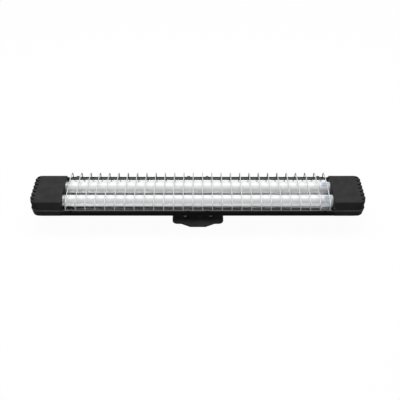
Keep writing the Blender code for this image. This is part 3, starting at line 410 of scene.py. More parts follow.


# %% [markdown]
# ### Black finishes
# The housing and the bracket are steel sheet with a satin powder coat, whose skin
# has a fine orange peel, and the end caps are moulded plastic with a fine spark
# grain. They look alike at a step away, but the caps are softer in their shine
# and wear to a greyer plastic, while the sheet shows a little steel at its edges.
# The mounting plate reaches out from under the housing, and its colour is painted
# lighter there, as light where the housing's shadow ends.

# %% Black paint, cap plastic and rubber
# The dust on these three is mostly painted light: it makes top faces lighter than the fronts.
housing_paint = surface(
    "housing_paint", (0.0015, 0.0015, 0.0017), (0.003, 0.003, 0.0032), (0.38, 0.52),
    grain=(1400, 0.00003), wear=(0.12, (0.20, 0.20, 0.20), 0.35), dust_and_top_light=0.08,
    Specular_IOR_Level=0.02)
bracket_paint = surface(
    "bracket_paint", (0.007, 0.007, 0.008), (0.011, 0.011, 0.012), (0.36, 0.50),
    grain=(1400, 0.00003), wear=(0.12, (0.20, 0.20, 0.19), 0.32), dust_and_top_light=0.20,
    Specular_IOR_Level=0.06)
cap_plastic = surface(
    "cap_plastic", (0.008, 0.008, 0.0085), (0.012, 0.012, 0.0125), (0.46, 0.60),
    grain=(2600, 0.00004), wear=(0.10, (0.10, 0.10, 0.10), 0.40), dust_and_top_light=0.07,
    Specular_IOR_Level=0.07)
gland_rubber = surface(
    "gland_rubber", (0.018, 0.018, 0.018), (0.028, 0.027, 0.026), (0.75, 0.9),
    grain=(3200, 0.00003))
screw_black = surface(
    "screw_black", (0.028, 0.028, 0.030), (0.040, 0.040, 0.042), (0.30, 0.42), metallic=0.6,
    grain=(2400, 0.00001), wear=(0.8, (0.35, 0.35, 0.34), 0.3))

# %% Painted light on the open part of the mounting plate, past the housing's shadow
PLATE_SHELTERED_TO = 0.020
PLATE_OPEN_FROM = 0.044
PLATE_PAINTED_LIGHT = 0.45
painted_light_past_shadow = use_group(bracket_paint.node_tree, painted_plate_light_group, Sheltered=PLATE_SHELTERED_TO,
                      Open=PLATE_OPEN_FROM, Amount=PLATE_PAINTED_LIGHT)
tint(bracket_paint, painted_light_past_shadow["Dust"], DUST_AND_LIGHT_COLOUR)
print("Materials so far:", len(bpy.data.materials))

# %% [markdown]
# ### Metals
# The reflector is bright rolled aluminium, so its streaks run along the fixture and
# stretch every highlight that way. The screws and lampholder brackets are zinc
# plated, which is duller and has cloudy patches, and the screws of the mounting
# plate are darker still. The guard is drawn wire with a bright plating. Such a wire
# mirrors the lamp above it along its upper side and a dark room along its flanks.
# This studio is white all round and has no dark room to mirror, so both tones are
# painted into the wire's colour, split by a mask: a painted highlight along its top and
# the front of the legs, and painted shade on its flanks. The strip that holds the far
# rail is dull zinc, with a dark clip at each screw.

# %% Aluminium, plated wire and zinc
reflector_aluminium = surface(
    "reflector_aluminium", (0.84, 0.85, 0.86), (0.90, 0.91, 0.92), (0.10, 0.20),
    metallic=1.0, streaks=(700, 0.000004))
ferrule_aluminium = surface(
    "ferrule_aluminium", (0.34, 0.35, 0.36), (0.42, 0.43, 0.44), (0.34, 0.46),
    metallic=0.3, streaks=(900, 0.000006))
spine_anodised = surface(
    "spine_anodised", (0.30, 0.304, 0.31), (0.36, 0.364, 0.37), (0.30, 0.42),
    metallic=1.0, streaks=(900, 0.000006))
# Its two tones are painted light and shade: pale where it faces the lamps, dark on its flanks.
guard_wire = surface(
    "guard_wire", (0.80, 0.81, 0.82), (0.86, 0.87, 0.88), (0.30, 0.42), metallic=0.1,
    grain=(900, 0.000006), painted_flank_shade=(0.06, 0.06, 0.062), Specular_IOR_Level=0.3)
# The near rail has the same painted light and shade, in darker tones.
rail_wire = surface(
    "rail_wire", (0.09, 0.092, 0.095), (0.13, 0.132, 0.135), (0.34, 0.46), metallic=0.2,
    grain=(900, 0.000006), painted_flank_shade=(0.04, 0.04, 0.042))
screw_steel = surface(
    "screw_steel", (0.50, 0.50, 0.48), (0.66, 0.65, 0.62), (0.26, 0.44), metallic=1.0,
    grain=(1200, 0.00001), wear=(0.5, (0.75, 0.75, 0.74), 0.2))
mount_steel = surface(
    "mount_steel", (0.14, 0.14, 0.135), (0.22, 0.22, 0.21), (0.30, 0.44), metallic=1.0,
    grain=(1200, 0.00001), wear=(0.5, (0.60, 0.60, 0.59), 0.25))
strip_steel = surface(
    "strip_steel", (0.08, 0.08, 0.079), (0.12, 0.12, 0.118), (0.34, 0.50), metallic=0.3,
    streaks=(600, 0.000006))
bracket_steel = surface(
    "bracket_steel", (0.54, 0.54, 0.52), (0.64, 0.64, 0.62), (0.30, 0.48), metallic=1.0,
    streaks=(600, 0.000006))

# %% Dark clips on the strip, one at each far flange screw
CLIP_REACH = 0.0033
CLIP_COLOUR = (0.004, 0.004, 0.004)
FLANGE_SCREWS = [f"{side}_flange_screw_{i}" for side in ("near", "far") for i in range(1, 5)]
at_clips = 0
for node in FLANGE_SCREWS[4:]:
    low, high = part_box(node)
    at_clip = within(strip_steel.node_tree, "X", (low.x + high.x) / 2, CLIP_REACH)
    at_clips = math_node("ADD", at_clips, at_clip)
tint(strip_steel, at_clips, CLIP_COLOUR)
print("Clips at", FLANGE_SCREWS[4:])

# %% [markdown]
# ### Plastics of the tubes and lampholders
# The tube's cover is opal plastic: white right through, with a smooth skin that
# mirrors the studio as a thin bright line. The driver end has a frosted cover with
# a blue cast, which lets a little of the board behind it through. The lampholders
# and the rotors are plain white mouldings that have yellowed slightly.

# %% Opal, frosted and white plastics
opal_cover = surface(
    "opal_cover", (0.84, 0.84, 0.84), (0.88, 0.88, 0.88), (0.20, 0.28), grain=(300, 0.00001),
    Coat_Weight=0.25, Coat_Roughness=0.12)
clear_cover = surface(
    "clear_cover", (0.82, 0.82, 0.86), (0.86, 0.86, 0.90), (0.28, 0.38),
    grain=(800, 0.00001), Transmission_Weight=0.12, IOR=1.45)
lampholder_plastic = surface(
    "lampholder_plastic", (0.76, 0.75, 0.71), (0.82, 0.81, 0.78), (0.32, 0.44),
    grain=(2200, 0.00002), dust_and_top_light=0.1)
rotor_plastic = surface(
    "rotor_plastic", (0.70, 0.70, 0.67), (0.78, 0.78, 0.75), (0.35, 0.48), grain=(2200, 0.00002))
lead_insulation = surface(
    "lead_insulation", (0.32, 0.35, 0.39), (0.38, 0.41, 0.45), (0.42, 0.55), grain=(1800, 0.00002))
print("Materials:", len(bpy.data.materials))

# %% [markdown]
# ### The label and the circuit boards
# Each tube has a film label near its driver end: a blue-grey field with a white
# border, left bare. It could be two pieces, but one film whose colour changes near
# its edges is closer to how it is printed. The border is found from how far a point
# lies from the label's middle, along the tube and across it. The boards are white
# solder mask with fine copper tracks that show as faint lines.

# %% Label films
LABEL_BORDER = 0.0009
LABEL_FIELD = (0.40, 0.47, 0.56)
tube_boxes = {name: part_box(name + "_diffuser") for name in ("front_tube", "rear_tube")}
tube_axes = {name: (low + high) / 2 for name, (low, high) in tube_boxes.items()}
tube_radius = (tube_boxes["front_tube"][1].y - tube_boxes["front_tube"][0].y) / 2
label_films = {}
for name in tube_boxes:
    film = surface(name + "_label_film", (0.78, 0.80, 0.82), (0.84, 0.85, 0.86), (0.30, 0.42),
                   grain=(900, 0.00001))
    low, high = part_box(name + "_label")
    middle, reach = (low + high) / 2, (high - low) / 2
    along_tube = within(film.node_tree, "X", middle.x, reach.x - LABEL_BORDER)
    across_tube = within(film.node_tree, "Y", middle.y, reach.y - LABEL_BORDER)
    tint(film, product(along_tube, across_tube), LABEL_FIELD)
    label_films[name] = film
print("Tube radius:", round(tube_radius * 1000, 2), "mm")

# %% Circuit boards
TRACKS_SCALE = 320
TRACKS_WAVINESS = 1.5
TRACK_LEVEL = 0.93
TRACK_COLOUR = (0.62, 0.60, 0.50)
circuit_board = surface(
    "circuit_board", (0.78, 0.80, 0.78), (0.84, 0.86, 0.84), (0.35, 0.5), grain=(1800, 0.00001))
tree = circuit_board.node_tree
waves = tree.nodes.new("ShaderNodeTexWave")
waves.bands_direction = "Y"
for label, value in (("Vector", own_place(tree)), ("Scale", TRACKS_SCALE),
                     ("Distortion", TRACKS_WAVINESS)):
    feed(value, waves.inputs[label])
track = math_node("GREATER_THAN", waves.outputs["Fac"], TRACK_LEVEL)
tint(circuit_board, track, TRACK_COLOUR)
print("Made", circuit_board.name)

# %% [markdown]
# ## Helpers for shapes
# Most pieces of this fixture are one of three kinds. A folded sheet or a moulding
# has flat walls and soft edges: we copy the CAD solid, merge its triangles back
# into flat faces and round the edges with a Bevel, which catches the light as a
# real bend or mould radius does. A turned piece is a profile spun round an axis.
# A wire is a ring carried along a path. Every piece is drawn in the fixture's own
# frame, so that it needs no moving before it rides on its body.

# %% Place a finished piece
BODY_OF = {node: body for body, members in frame["record"]["behaviour"]["bodies"].items()
           for node in members}
SLOT_OF = {part["node"]: part["material_slot"] for part in frame["record"]["subparts"]}


def finished(name, shape, material, sharp=40):
    """Turn a bmesh into a piece that is smooth but for its edges above an angle."""
    bmesh.ops.recalc_face_normals(shape, faces=shape.faces)
    mesh = bpy.data.meshes.new(name)
    shape.to_mesh(mesh)
    shape.free()
    mesh.materials.append(material)
    mesh.shade_smooth()
    mesh.set_sharp_from_angle(angle=math.radians(sharp))
    piece = bpy.data.objects.new(name, mesh)
    bpy.context.scene.collection.objects.link(piece)
    return piece


def stand_in(name, shape, material, node, sharp=40):
    """Make a piece that replaces a CAD node and rides on that node's body."""
    piece = finished(name, shape, material, sharp)
    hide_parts(node)
    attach(piece, BODY_OF[node])
    return piece


# %% Soften a CAD solid
WELD_DISTANCE = 0.00001
FLAT_ANGLE = math.radians(0.6)


def softened(node, material, radius, segments=2, angle=28):
    """A copy of a CAD node with its flat faces merged and its edges rounded."""
    shape = bmesh.new()
    shape.from_mesh(frame["nodes"][node].data)
    bmesh.ops.remove_doubles(shape, verts=shape.verts, dist=WELD_DISTANCE)
    bmesh.ops.dissolve_limit(shape, angle_limit=FLAT_ANGLE, verts=shape.verts, edges=shape.edges)
    piece = stand_in(node + "_finish", shape, material, node, sharp=angle)
    rounding = piece.modifiers.new("soft_edges", "BEVEL")
    rounding.width = radius
    rounding.segments = segments
    rounding.limit_method = "ANGLE"
    rounding.angle_limit = math.radians(angle)
    rounding.use_clamp_overlap = False
    rounding.harden_normals = True
    return piece


# %% Put bodies together and put a skin on rings
def joined(shapes):
    """Put several closed bodies in one bmesh."""
    whole = bmesh.new()
    for shape in shapes:
        carried = bpy.data.meshes.new("carried")
        shape.to_mesh(carried)
        shape.free()
        whole.from_mesh(carried)
        bpy.data.meshes.remove(carried)
    return whole


def skin(shape, rows, closed=True):
    """Faces between each ring, or open row, and the next one, which has as many points."""
    for below, above in zip(rows, rows[1:]):
        count = len(below)
        for i in range(count if closed else count - 1):
            j = (i + 1) % count
            shape.faces.new((below[i], below[j], above[j], above[i]))


def turns(sides):
    """The angles of the points of a ring."""
    return [math.tau * i / sides for i in range(sides)]


# %% Spin a profile
def spun(profile, sides, along="X", centre=(0, 0, 0)):
    """Turn a closed profile of (radius, distance) points round an axis through a point."""
    shape = bmesh.new()
    rings = []
    for radius, distance in profile:
        ring = [(distance, radius * math.cos(a), radius * math.sin(a)) for a in turns(sides)]
        rings.append([shape.verts.new(point) for point in (ring if radius else ring[:1])])
    for below, above in zip(rings, rings[1:] + rings[:1]):
        if len(below) == len(above) == 1:
            continue
        for i in range(sides):
            j = (i + 1) % sides
            corners = [below[i % len(below)], below[j % len(below)],
                       above[j % len(above)], above[i % len(above)]]
            shape.faces.new(list(dict.fromkeys(corners)))
    if along == "Z":
        shape.transform(Matrix.Rotation(-math.pi / 2, 4, "Y"))
    shape.transform(Matrix.Translation(centre))
    return shape


# %% Carry a ring along a path
def round_wire(shape, path, radius, sides=12):
    """Add a round wire along a path, with mitred bends and flat ends, to a bmesh."""
    points = [Vector(p) for p in path]
    runs = [(b - a).normalized() for a, b in zip(points, points[1:])]
    side = runs[0].orthogonal().normalized()
    rings = []
    for i, point in enumerate(points):
        before, after = runs[max(i - 1, 0)], runs[min(i, len(runs) - 1)]
        onward = (before + after).normalized()
        side = (side - onward * side.dot(onward)).normalized()
        across = onward.cross(side)
        rings.append([shape.verts.new(point + (side * math.cos(a) + across * math.sin(a)) * radius)
                      for a in turns(sides)])
    skin(shape, rings)
    shape.faces.new(rings[0][::-1])
    shape.faces.new(rings[-1])


# %% [markdown]
# ## The painted sheet pieces
# The tray is one folded steel sheet: a flat back, two sloping sides and a flange
# along each side. Under it a shoe with two ears sits between the ears of the
# mounting plate. They were cut, bent and then painted, so every edge is round
# enough for paint to hold on to it. The strips on the flanges are thinner sheet.

# %% Housing, strips, shoe and mounting plate
SHEET_EDGE = 0.0004
STRIP_EDGE = 0.00018
PLATE_EDGE = 0.0006
softened("housing_tray", housing_paint, SHEET_EDGE)
softened("hinge_strip", strip_steel, STRIP_EDGE)
softened("latch_strip", housing_paint, STRIP_EDGE)
softened("tilt_shoe", bracket_paint, SHEET_EDGE)
softened("mount_plate", bracket_paint, PLATE_EDGE, segments=3)

# %% [markdown]
# ## The end caps
# Each end is closed by two mouldings: a cap above, whose end is cut into ribs, and
# a base below. A Bevel would round the base's edges well, but it pulls the cap's
# narrow slots out of shape, because it works on each corner by itself. So the cap
# is drawn as its mould was: one plan outline with slots and round ribs, which gets
# smaller from level to level. Extra levels near an edge round that edge, and a
# slot gets a little wider in the last ones, so that its rim is round too.

# %% Measures of a cap
CAP_WALL = 0.0020
CAP_STEP = 0.0006
LIP_HEIGHT = 0.0099
CAP_SLOTS = 7
SLOT_PITCH = 0.0128
SLOT_HALF = 0.0020
SLOT_DEPTH = 0.0095
RIB_ROUND = 0.0032
MOUTH_STEPS = 6
CORNER_POINTS = 14
HOLE_GAP = 0.0008
HOLE_FACETS = 40
cap_low, cap_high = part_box("right_end_cap")
cap_start, cap_end, cap_half = cap_low.x, cap_high.x + CAP_STEP, cap_high.y
cap_rim = flange_level - LIP_HEIGHT
print("Cap length:", round((cap_end - cap_start) * 1000, 1), "mm")

# %% Its plan outline
quarter_turn = [math.pi / 2 * i / MOUTH_STEPS for i in range(MOUTH_STEPS + 1)]


def mirrored(points):
    """Points of the far half of an outline, with those of the near half before them."""
    return [(x, -y) for x, y in reversed(points)] + points


def cap_outline(half, end, corner, start, widen):
    """Plan points of one level, from its near corner at the tubes round the ribs to its far one."""
    slot, root = SLOT_HALF + widen, cap_end - SLOT_DEPTH - widen
    shoulder = cap_end - RIB_ROUND
    straight = half - corner
    last_slot = (CAP_SLOTS // 2) * SLOT_PITCH

    def end_at(y):
        bulge = max(y - straight, 0)
        return end - corner + math.sqrt(max(corner * corner - bulge * bulge, 0))

    def mouth_at(off):
        fall = max(slot + RIB_ROUND - off, 0)
        return shoulder + math.sqrt(max(RIB_ROUND * RIB_ROUND - fall * fall, 0))

    mouth = [slot + RIB_ROUND * (1 - math.cos(a)) for a in quarter_turn]
    points = []
    for i in range(CAP_SLOTS // 2 + 1):
        y = i * SLOT_PITCH
        if i:
            points += [(min(mouth_at(off), end_at(y - off)), y - off) for off in reversed(mouth)]
            points.append((root, y - slot))
        points.append((root, y + slot))
        if y < last_slot:
            points += [(min(mouth_at(off), end_at(y + off)), y + off) for off in mouth]
    first = last_slot + slot
    flat = max(straight - first, 0)
    first_angle = math.asin(min(max((first - straight) / corner, 0), 1))
    way = flat + corner * (math.pi / 2 - first_angle)
    for i in range(CORNER_POINTS):
        gone = way * i / (CORNER_POINTS - 1)
        angle = first_angle + max(gone - flat, 0) / corner
        x = end - corner + corner * math.cos(angle)
        y = first + gone if gone < flat else straight + corner * math.sin(angle)
        points.append((min(x, mouth_at(y - last_slot)), y))
    return mirrored(points + [(start, half)])


# %% Levels of a cap, with round edges
LEDGE_WIDTH = 0.0048
LEDGE_HEIGHT = 0.0012
BROW_WIDTH = 0.0060
BROW_DROP = 0.0020
TUBE_SIDE_GAP = 0.0063
RIM_DRAFT = 0.0070
LEDGE_DRAFT = 0.0028
SIDE_CORNER = 0.020
RIM_CORNER = 0.015
TOP_CORNER = 0.012
INSET = 0.001
SLOT_RIM = 0.0005
ROUNDING_STEPS = 3
EDGE_ROUNDINGS = [0.0006, 0.0004, 0.0012, 0.0007]
ledge_z = flange_level + LEDGE_HEIGHT
ledge_half = cap_half - LEDGE_WIDTH
top_half = tube_axes["rear_tube"].y + tube_radius + TUBE_SIDE_GAP
top_end = cap_end - CAP_STEP
# half width, end, corner, start, widening of the slots, height
CAP_LEVELS = [
    (cap_half, cap_end - RIM_DRAFT, RIM_CORNER, cap_start, 0, cap_rim),
    (cap_half, cap_end - LEDGE_DRAFT, SIDE_CORNER, cap_start, 0, ledge_z),
    (ledge_half, cap_end - LEDGE_DRAFT - CAP_STEP, SIDE_CORNER, cap_start, 0, ledge_z),
    (top_half + BROW_WIDTH, top_end, TOP_CORNER, cap_start, 0, cap_high.z - BROW_DROP),
    (top_half, top_end, TOP_CORNER, cap_start, 0, cap_high.z),
    (top_half - INSET, top_end - INSET, TOP_CORNER, cap_start + INSET, SLOT_RIM, cap_high.z),
]


def rounded_levels():
    """The levels with each one in the middle replaced by a few that round its edge."""
    levels = [CAP_LEVELS[0]]
    for before, edge, after, radius in zip(
            CAP_LEVELS, CAP_LEVELS[1:], CAP_LEVELS[2:], EDGE_ROUNDINGS):
        arms = []
        for other in (before, after):
            reach = math.dist((edge[0], edge[5]), (other[0], other[5]))
            arms.append([e + (o - e) * radius / reach for e, o in zip(edge, other)])
        for i in range(ROUNDING_STEPS + 1):
            t = i / ROUNDING_STEPS
            levels.append(tuple((1 - t) ** 2 * a + 2 * t * (1 - t) * e + t * t * b
                                for a, e, b in zip(arms[0], edge, arms[1])))
    return levels


print("Cap levels:", len(CAP_LEVELS), "or, with round edges,", len(rounded_levels()))

# %% A cap's hollow
inner_start, inner_end = cap_start + CAP_WALL, cap_end - SLOT_DEPTH - CAP_WALL
# half width and height
HOLLOW_LEVELS = [(cap_half - CAP_WALL, cap_rim),
                 (cap_half - CAP_WALL, ledge_z - CAP_WALL - CAP_STEP),
                 (ledge_half - CAP_WALL, ledge_z - CAP_WALL),
                 (top_half - CAP_WALL, cap_high.z - CAP_WALL)]


def hollow_outline(half):
    """Plan points of the hollow at one level. Its round corners end before the slots."""
    corner = SIDE_CORNER - CAP_WALL
    centre = cap_end - RIM_DRAFT - SIDE_CORNER
    points = [(min(centre + corner * math.cos(a), inner_end),
               half - corner + corner * math.sin(a)) for a in quarter_turn]
    points.append((inner_start, half))
    return mirrored(points)


# %% The whole shell of a cap
def cap_shape():
    """The right cap: a moulded shell, open below, with two notches for the tubes."""
    shape = bmesh.new()
    rings = [[shape.verts.new((x, y, level[5])) for x, y in cap_outline(*level[:5])]
             for level in rounded_levels()]
    hollow = [[shape.verts.new((x, y, z)) for x, y in hollow_outline(half)]
              for half, z in HOLLOW_LEVELS]
    for rows in (rings, hollow):
        skin(shape, rows, closed=False)
        shape.faces.new(rows[-1])
    upright = len(rings) - ROUNDING_STEPS
    for below, above in zip(rings[upright - 1:], rings[upright:]):
        shape.faces.new((below[-1], below[0], above[0], above[-1]))

    hole = tube_radius + HOLE_GAP
    cut = -math.asin((flange_level - cap_rim) / hole)
    angles = [cut + (math.pi - 2 * cut) * i / HOLE_FACETS for i in range(HOLE_FACETS + 1)]
    notches = []
    for name in ("rear_tube", "front_tube"):
        rim = [(tube_axes[name].y + hole * math.cos(a), flange_level + hole * math.sin(a))
               for a in angles]
        notches.append([[shape.verts.new((x, y, z)) for y, z in rim]
                        for x in (cap_start, inner_start)])
        skin(shape, notches[-1], closed=False)
    (rear_front, rear_back), (near_front, near_back) = notches
    for rows, rear, near in ((rings[:upright], rear_front, near_front),
                             (hollow, rear_back, near_back)):
        side = [row[0] for row in rows] + [row[-1] for row in reversed(rows)]
        shape.faces.new(side + rear + near)
    shape.faces.new(rings[0] + [rear_front[0], rear_back[0]] + hollow[0][::-1]
                    + [near_back[-1], near_front[-1]])
    shape.faces.new((rear_front[-1], near_front[0], near_back[0], rear_back[-1]))
    return shape


# %% Caps with their screw bosses, and bases
BOSS_RADIUS = 0.0035
BOSS_FROM_END = 0.026
BOSS_FACETS = 32
PILOT_RADIUS = 0.0019
PILOT_DEPTH = 0.011
BASE_EDGE = 0.0005
boss_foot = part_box("right_end_base")[0].z + CAP_WALL + CAP_STEP / 2
boss_top = cap_high.z - CAP_WALL / 2
boss_profile = [(PILOT_RADIUS, boss_foot), (BOSS_RADIUS, boss_foot), (BOSS_RADIUS, boss_top),
                (0, boss_top), (0, boss_foot + PILOT_DEPTH),
                (PILOT_RADIUS, boss_foot + PILOT_DEPTH)]
for end, mirror in (("left", -1), ("right", 1)):
    boss = spun(boss_profile, BOSS_FACETS, "Z", centre=(cap_end - BOSS_FROM_END, 0, 0))
    whole = joined([cap_shape(), boss])
    whole.transform(Matrix.Diagonal((mirror, 1, 1, 1)))
    loose = [edge for edge in whole.edges if len(edge.link_faces) != 2]
    cap = stand_in(end + "_end_cap_finish", whole, cap_plastic, end + "_end_cap", sharp=44)
    even_flats = cap.modifiers.new("even_flats", "WEIGHTED_NORMAL")
    even_flats.keep_sharp = True
    softened(end + "_end_base", cap_plastic, BASE_EDGE)
    print(end, "cap has", len(cap.data.polygons), "faces and", len(loose), "open edges")

# %% [markdown]
# ## The reflector
# Bright sheet with a ridge between the tubes and wings up to the flanges. Its bends
# have a radius of about a millimetre, and it mirrors the tubes' undersides, so the
# space beside a tube looks lighter than black sheet would.

# %% Reflector
REFLECTOR_EDGE = 0.0003
reflector = softened("reflector", reflector_aluminium, REFLECTOR_EDGE, angle=20)
print("Reflector:", len(reflector.data.polygons), "faces before rounding")

# %% [markdown]
# ## The wire guard
# 28 hoops of bright wire are spot welded to a rail on each side, which the clips
# hold. The near rail is darker and duller than the rest. A curve with a round bevel
# could draw a hoop, but a ring carried along the path gives one closed mesh with the
# weld beads in it. A hoop's arch is a squared curve: nearly upright at its legs and
# nearly flat over the tubes.

# %% Measures of the guard
HOOPS = 28
WIRE_RADIUS = 0.001
WELD_DEPTH = 0.0004
FOOT_GAP = 0.0005
RAIL_HEIGHT = 0.0025
LEG_HEIGHT = 0.0092
RAIL_OVERHANG = 0.0030
guard_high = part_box("wire_guard")[1]
rail_x, rail_y = guard_high.x, guard_high.y - WIRE_RADIUS
rail_level = flange_level + RAIL_HEIGHT
hoop_y = rail_y - 2 * WIRE_RADIUS + WELD_DEPTH
leg_top = flange_level + LEG_HEIGHT
arch_top = guard_high.z - WIRE_RADIUS
last_hoop_x = rail_x - RAIL_OVERHANG
print("Hoop pitch:", round(2 * last_hoop_x / (HOOPS - 1) * 1000, 2), "mm")

# %% The path of a hoop
HOOP_SQUARENESS = 3
ARCH_POINTS = 40


def hoop_path(x):
    """Points of one hoop, from its near foot over the tubes to its far foot."""
    points = [(x, -hoop_y, flange_level + FOOT_GAP)]
    for i in range(ARCH_POINTS + 1):
        angle = math.pi * (1 - i / ARCH_POINTS)
        power = 2 / HOOP_SQUARENESS
        reach = math.copysign(abs(math.cos(angle)) ** power, math.cos(angle))
        rise = abs(math.sin(angle)) ** power
        points.append((x, hoop_y * reach, leg_top + (arch_top - leg_top) * rise))
    points.append((x, hoop_y, flange_level + FOOT_GAP))
    return points


# %% Hoops, rails and weld beads
BEAD_STRETCH = (1.5, 0.75, 1.0)
bead_y = rail_y - WIRE_RADIUS + WELD_DEPTH / 2
hoops_shape = bmesh.new()
for i in range(HOOPS):
    x = last_hoop_x * (2 * i / (HOOPS - 1) - 1)
    round_wire(hoops_shape, hoop_path(x), WIRE_RADIUS)
    for side in (-1, 1):
        bead = bmesh.ops.create_icosphere(hoops_shape, subdivisions=2, radius=WIRE_RADIUS)["verts"]
        bmesh.ops.scale(hoops_shape, vec=BEAD_STRETCH, verts=bead)
        bmesh.ops.translate(hoops_shape, vec=(x, side * bead_y, rail_level), verts=bead)
guard_pieces = [("guard_hoops", hoops_shape, guard_wire)]
for name, side, material in (("guard_near_rail", -1, rail_wire), ("guard_far_rail", 1, guard_wire)):
    rail_shape = bmesh.new()
    round_wire(rail_shape, [(end * rail_x, side * rail_y, rail_level) for end in (-1, 1)],
               WIRE_RADIUS)
    guard_pieces.append((name, rail_shape, material))
for name, shape, material in guard_pieces:
    stand_in(name, shape, material, "wire_guard", sharp=60)
print("Guard:", HOOPS, "hoops,", 2 * HOOPS, "welds, 2 rails")

# %% [markdown]
# ## The tubes
# A tube is an opal cover over a white-lit board, clipped on an aluminium spine that
# faces the reflector. At the driver end the cover is frosted and slightly blue, and
# each end has an aluminium ferrule that is rolled on and carries two pins. Covers
# and spine are walls of an arc, drawn with enough facets to stay round up close.

# %% Measures of a tube
COVER_WALL = 0.0012
SPINE_WALL = 0.0014
SPINE_HALF_ANGLE = 58
SEAM_GAP = 0.0003
ARC_FACETS = 72
SPINE_FACETS = 66
GROOVE_DEPTH = 0.00025
GROOVE_PERIOD = 6
GROOVED_FACETS = (2, 3)


def arc_wall(axis, start, end, facets, low_x, high_x, outer, wall):
    """Part of a round wall along X. outer gives the radius of each facet's point."""
    angles = [math.radians(start + (end - start) * i / facets) for i in range(facets + 1)]
    rim = [(outer(i) * math.cos(a), outer(i) * math.sin(a)) for i, a in enumerate(angles)]
    bore_radius = outer(0) - wall
    bore = [(bore_radius * math.cos(a), bore_radius * math.sin(a)) for a in reversed(angles)]
    shape = bmesh.new()
    ends = [[shape.verts.new((x, axis.y + y, flange_level + z)) for y, z in rim + bore]
            for x in (low_x, high_x)]
    skin(shape, ends)
    for row in ends:
        for i in range(facets):
            shape.faces.new((row[i], row[i + 1], row[-2 - i], row[-1 - i]))
    return shape


def grooved(index):
    """Outer radius of the spine, which has fine grooves along it."""
    return tube_radius - (GROOVE_DEPTH if index % GROOVE_PERIOD in GROOVED_FACETS else 0)


# %% Covers and spines
BOTTOM_ANGLE = 270
spine_start, spine_end = BOTTOM_ANGLE - SPINE_HALF_ANGLE, BOTTOM_ANGLE + SPINE_HALF_ANGLE
seam_angle = math.degrees(SEAM_GAP / tube_radius)
for name, (low, high) in tube_boxes.items():
    cover = arc_wall(tube_axes[name], spine_end - 360 + seam_angle, spine_start - seam_angle,
                     ARC_FACETS, low.x, high.x, lambda i: tube_radius, COVER_WALL)
    stand_in(name + "_opal_cover", cover, opal_cover, name + "_diffuser")
    spine = arc_wall(tube_axes[name], spine_start, spine_end, SPINE_FACETS, low.x, high.x,
                     grooved, SPINE_WALL)
    stand_in(name + "_grooved_spine", spine, spine_anodised, name + "_spine")
    print(name, "cover is", round((high.x - low.x) * 1000, 1), "mm long")

# %% Driver covers and labels
EDGE_RADIUS = 0.0002
LABEL_GAP = 0.00005
LABEL_THICKNESS = 0.00015
LABEL_ANGLES = (84, 134)
LABEL_FACETS = 24
bore = tube_radius - COVER_WALL
label_skin = tube_radius + LABEL_GAP + LABEL_THICKNESS
for name, axis in tube_axes.items():
    low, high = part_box(name + "_driver_cover")
    ring = [(bore, low.x), (tube_radius - EDGE_RADIUS, low.x), (tube_radius, low.x + EDGE_RADIUS),
            (tube_radius, high.x - EDGE_RADIUS), (tube_radius - EDGE_RADIUS, high.x),
            (bore, high.x)]
    cover = spun(ring, ARC_FACETS, centre=(0, axis.y, flange_level))
    stand_in(name + "_frosted_cover", cover, clear_cover, name + "_driver_cover")
    low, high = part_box(name + "_label")
    film = arc_wall(axis, *LABEL_ANGLES, LABEL_FACETS, low.x, high.x, lambda i: label_skin,
                    LABEL_THICKNESS)
    stand_in(name + "_label_film", film, label_films[name], name + "_label")
    print(name, "label is", round((high.x - low.x) * 1000, 1), "mm long")

# %% [markdown]
# ### Ferrules
# A ferrule is a shallow cup. Its rim is rolled inwards, and a groove is pressed in
# near the open end to grip the cover. Its two pins have round tips, so that they
# find the slot of the rotor. Spinning a profile gives the cup, and two more spins
# give the pins. Both profiles are measured outwards from the cup's face.

# %% Profiles of the cup and a pin
FACE_THICKNESS = 0.0016
ROLL = 0.0007
GROOVE_FROM_RIM = 0.0018
GROOVE_WIDTH = 0.0012
GROOVE = 0.0003
PIN_RADIUS = 0.001175
PIN_SPACING = 0.0127
PIN_LENGTH = 0.0075
PIN_FACETS = 20
# how far from its corner, in radii, the middle of a quarter circle lies
ARC_SHARE = 0.3
PIN_PROFILE = [
    (0, -FACE_THICKNESS / 2), (PIN_RADIUS, -FACE_THICKNESS / 2),
    (PIN_RADIUS, PIN_LENGTH - PIN_RADIUS),
    (PIN_RADIUS * (1 - ARC_SHARE), PIN_LENGTH - PIN_RADIUS * ARC_SHARE), (0, PIN_LENGTH)]


def cup_profile(rim):
    """Profile of a cup whose open end lies this far from its face, which is below 0."""
    return [
        (0, 0), (tube_radius - ROLL, 0), (tube_radius - ROLL * ARC_SHARE, -ROLL * ARC_SHARE),
        (tube_radius, -ROLL), (tube_radius, rim + GROOVE_FROM_RIM + GROOVE_WIDTH),
        (tube_radius - GROOVE, rim + GROOVE_FROM_RIM + GROOVE_WIDTH / 2),
        (tube_radius, rim + GROOVE_FROM_RIM), (tube_radius, rim + EDGE_RADIUS),
        (tube_radius - EDGE_RADIUS, rim), (bore, rim), (bore, -FACE_THICKNESS),
        (0, -FACE_THICKNESS)]


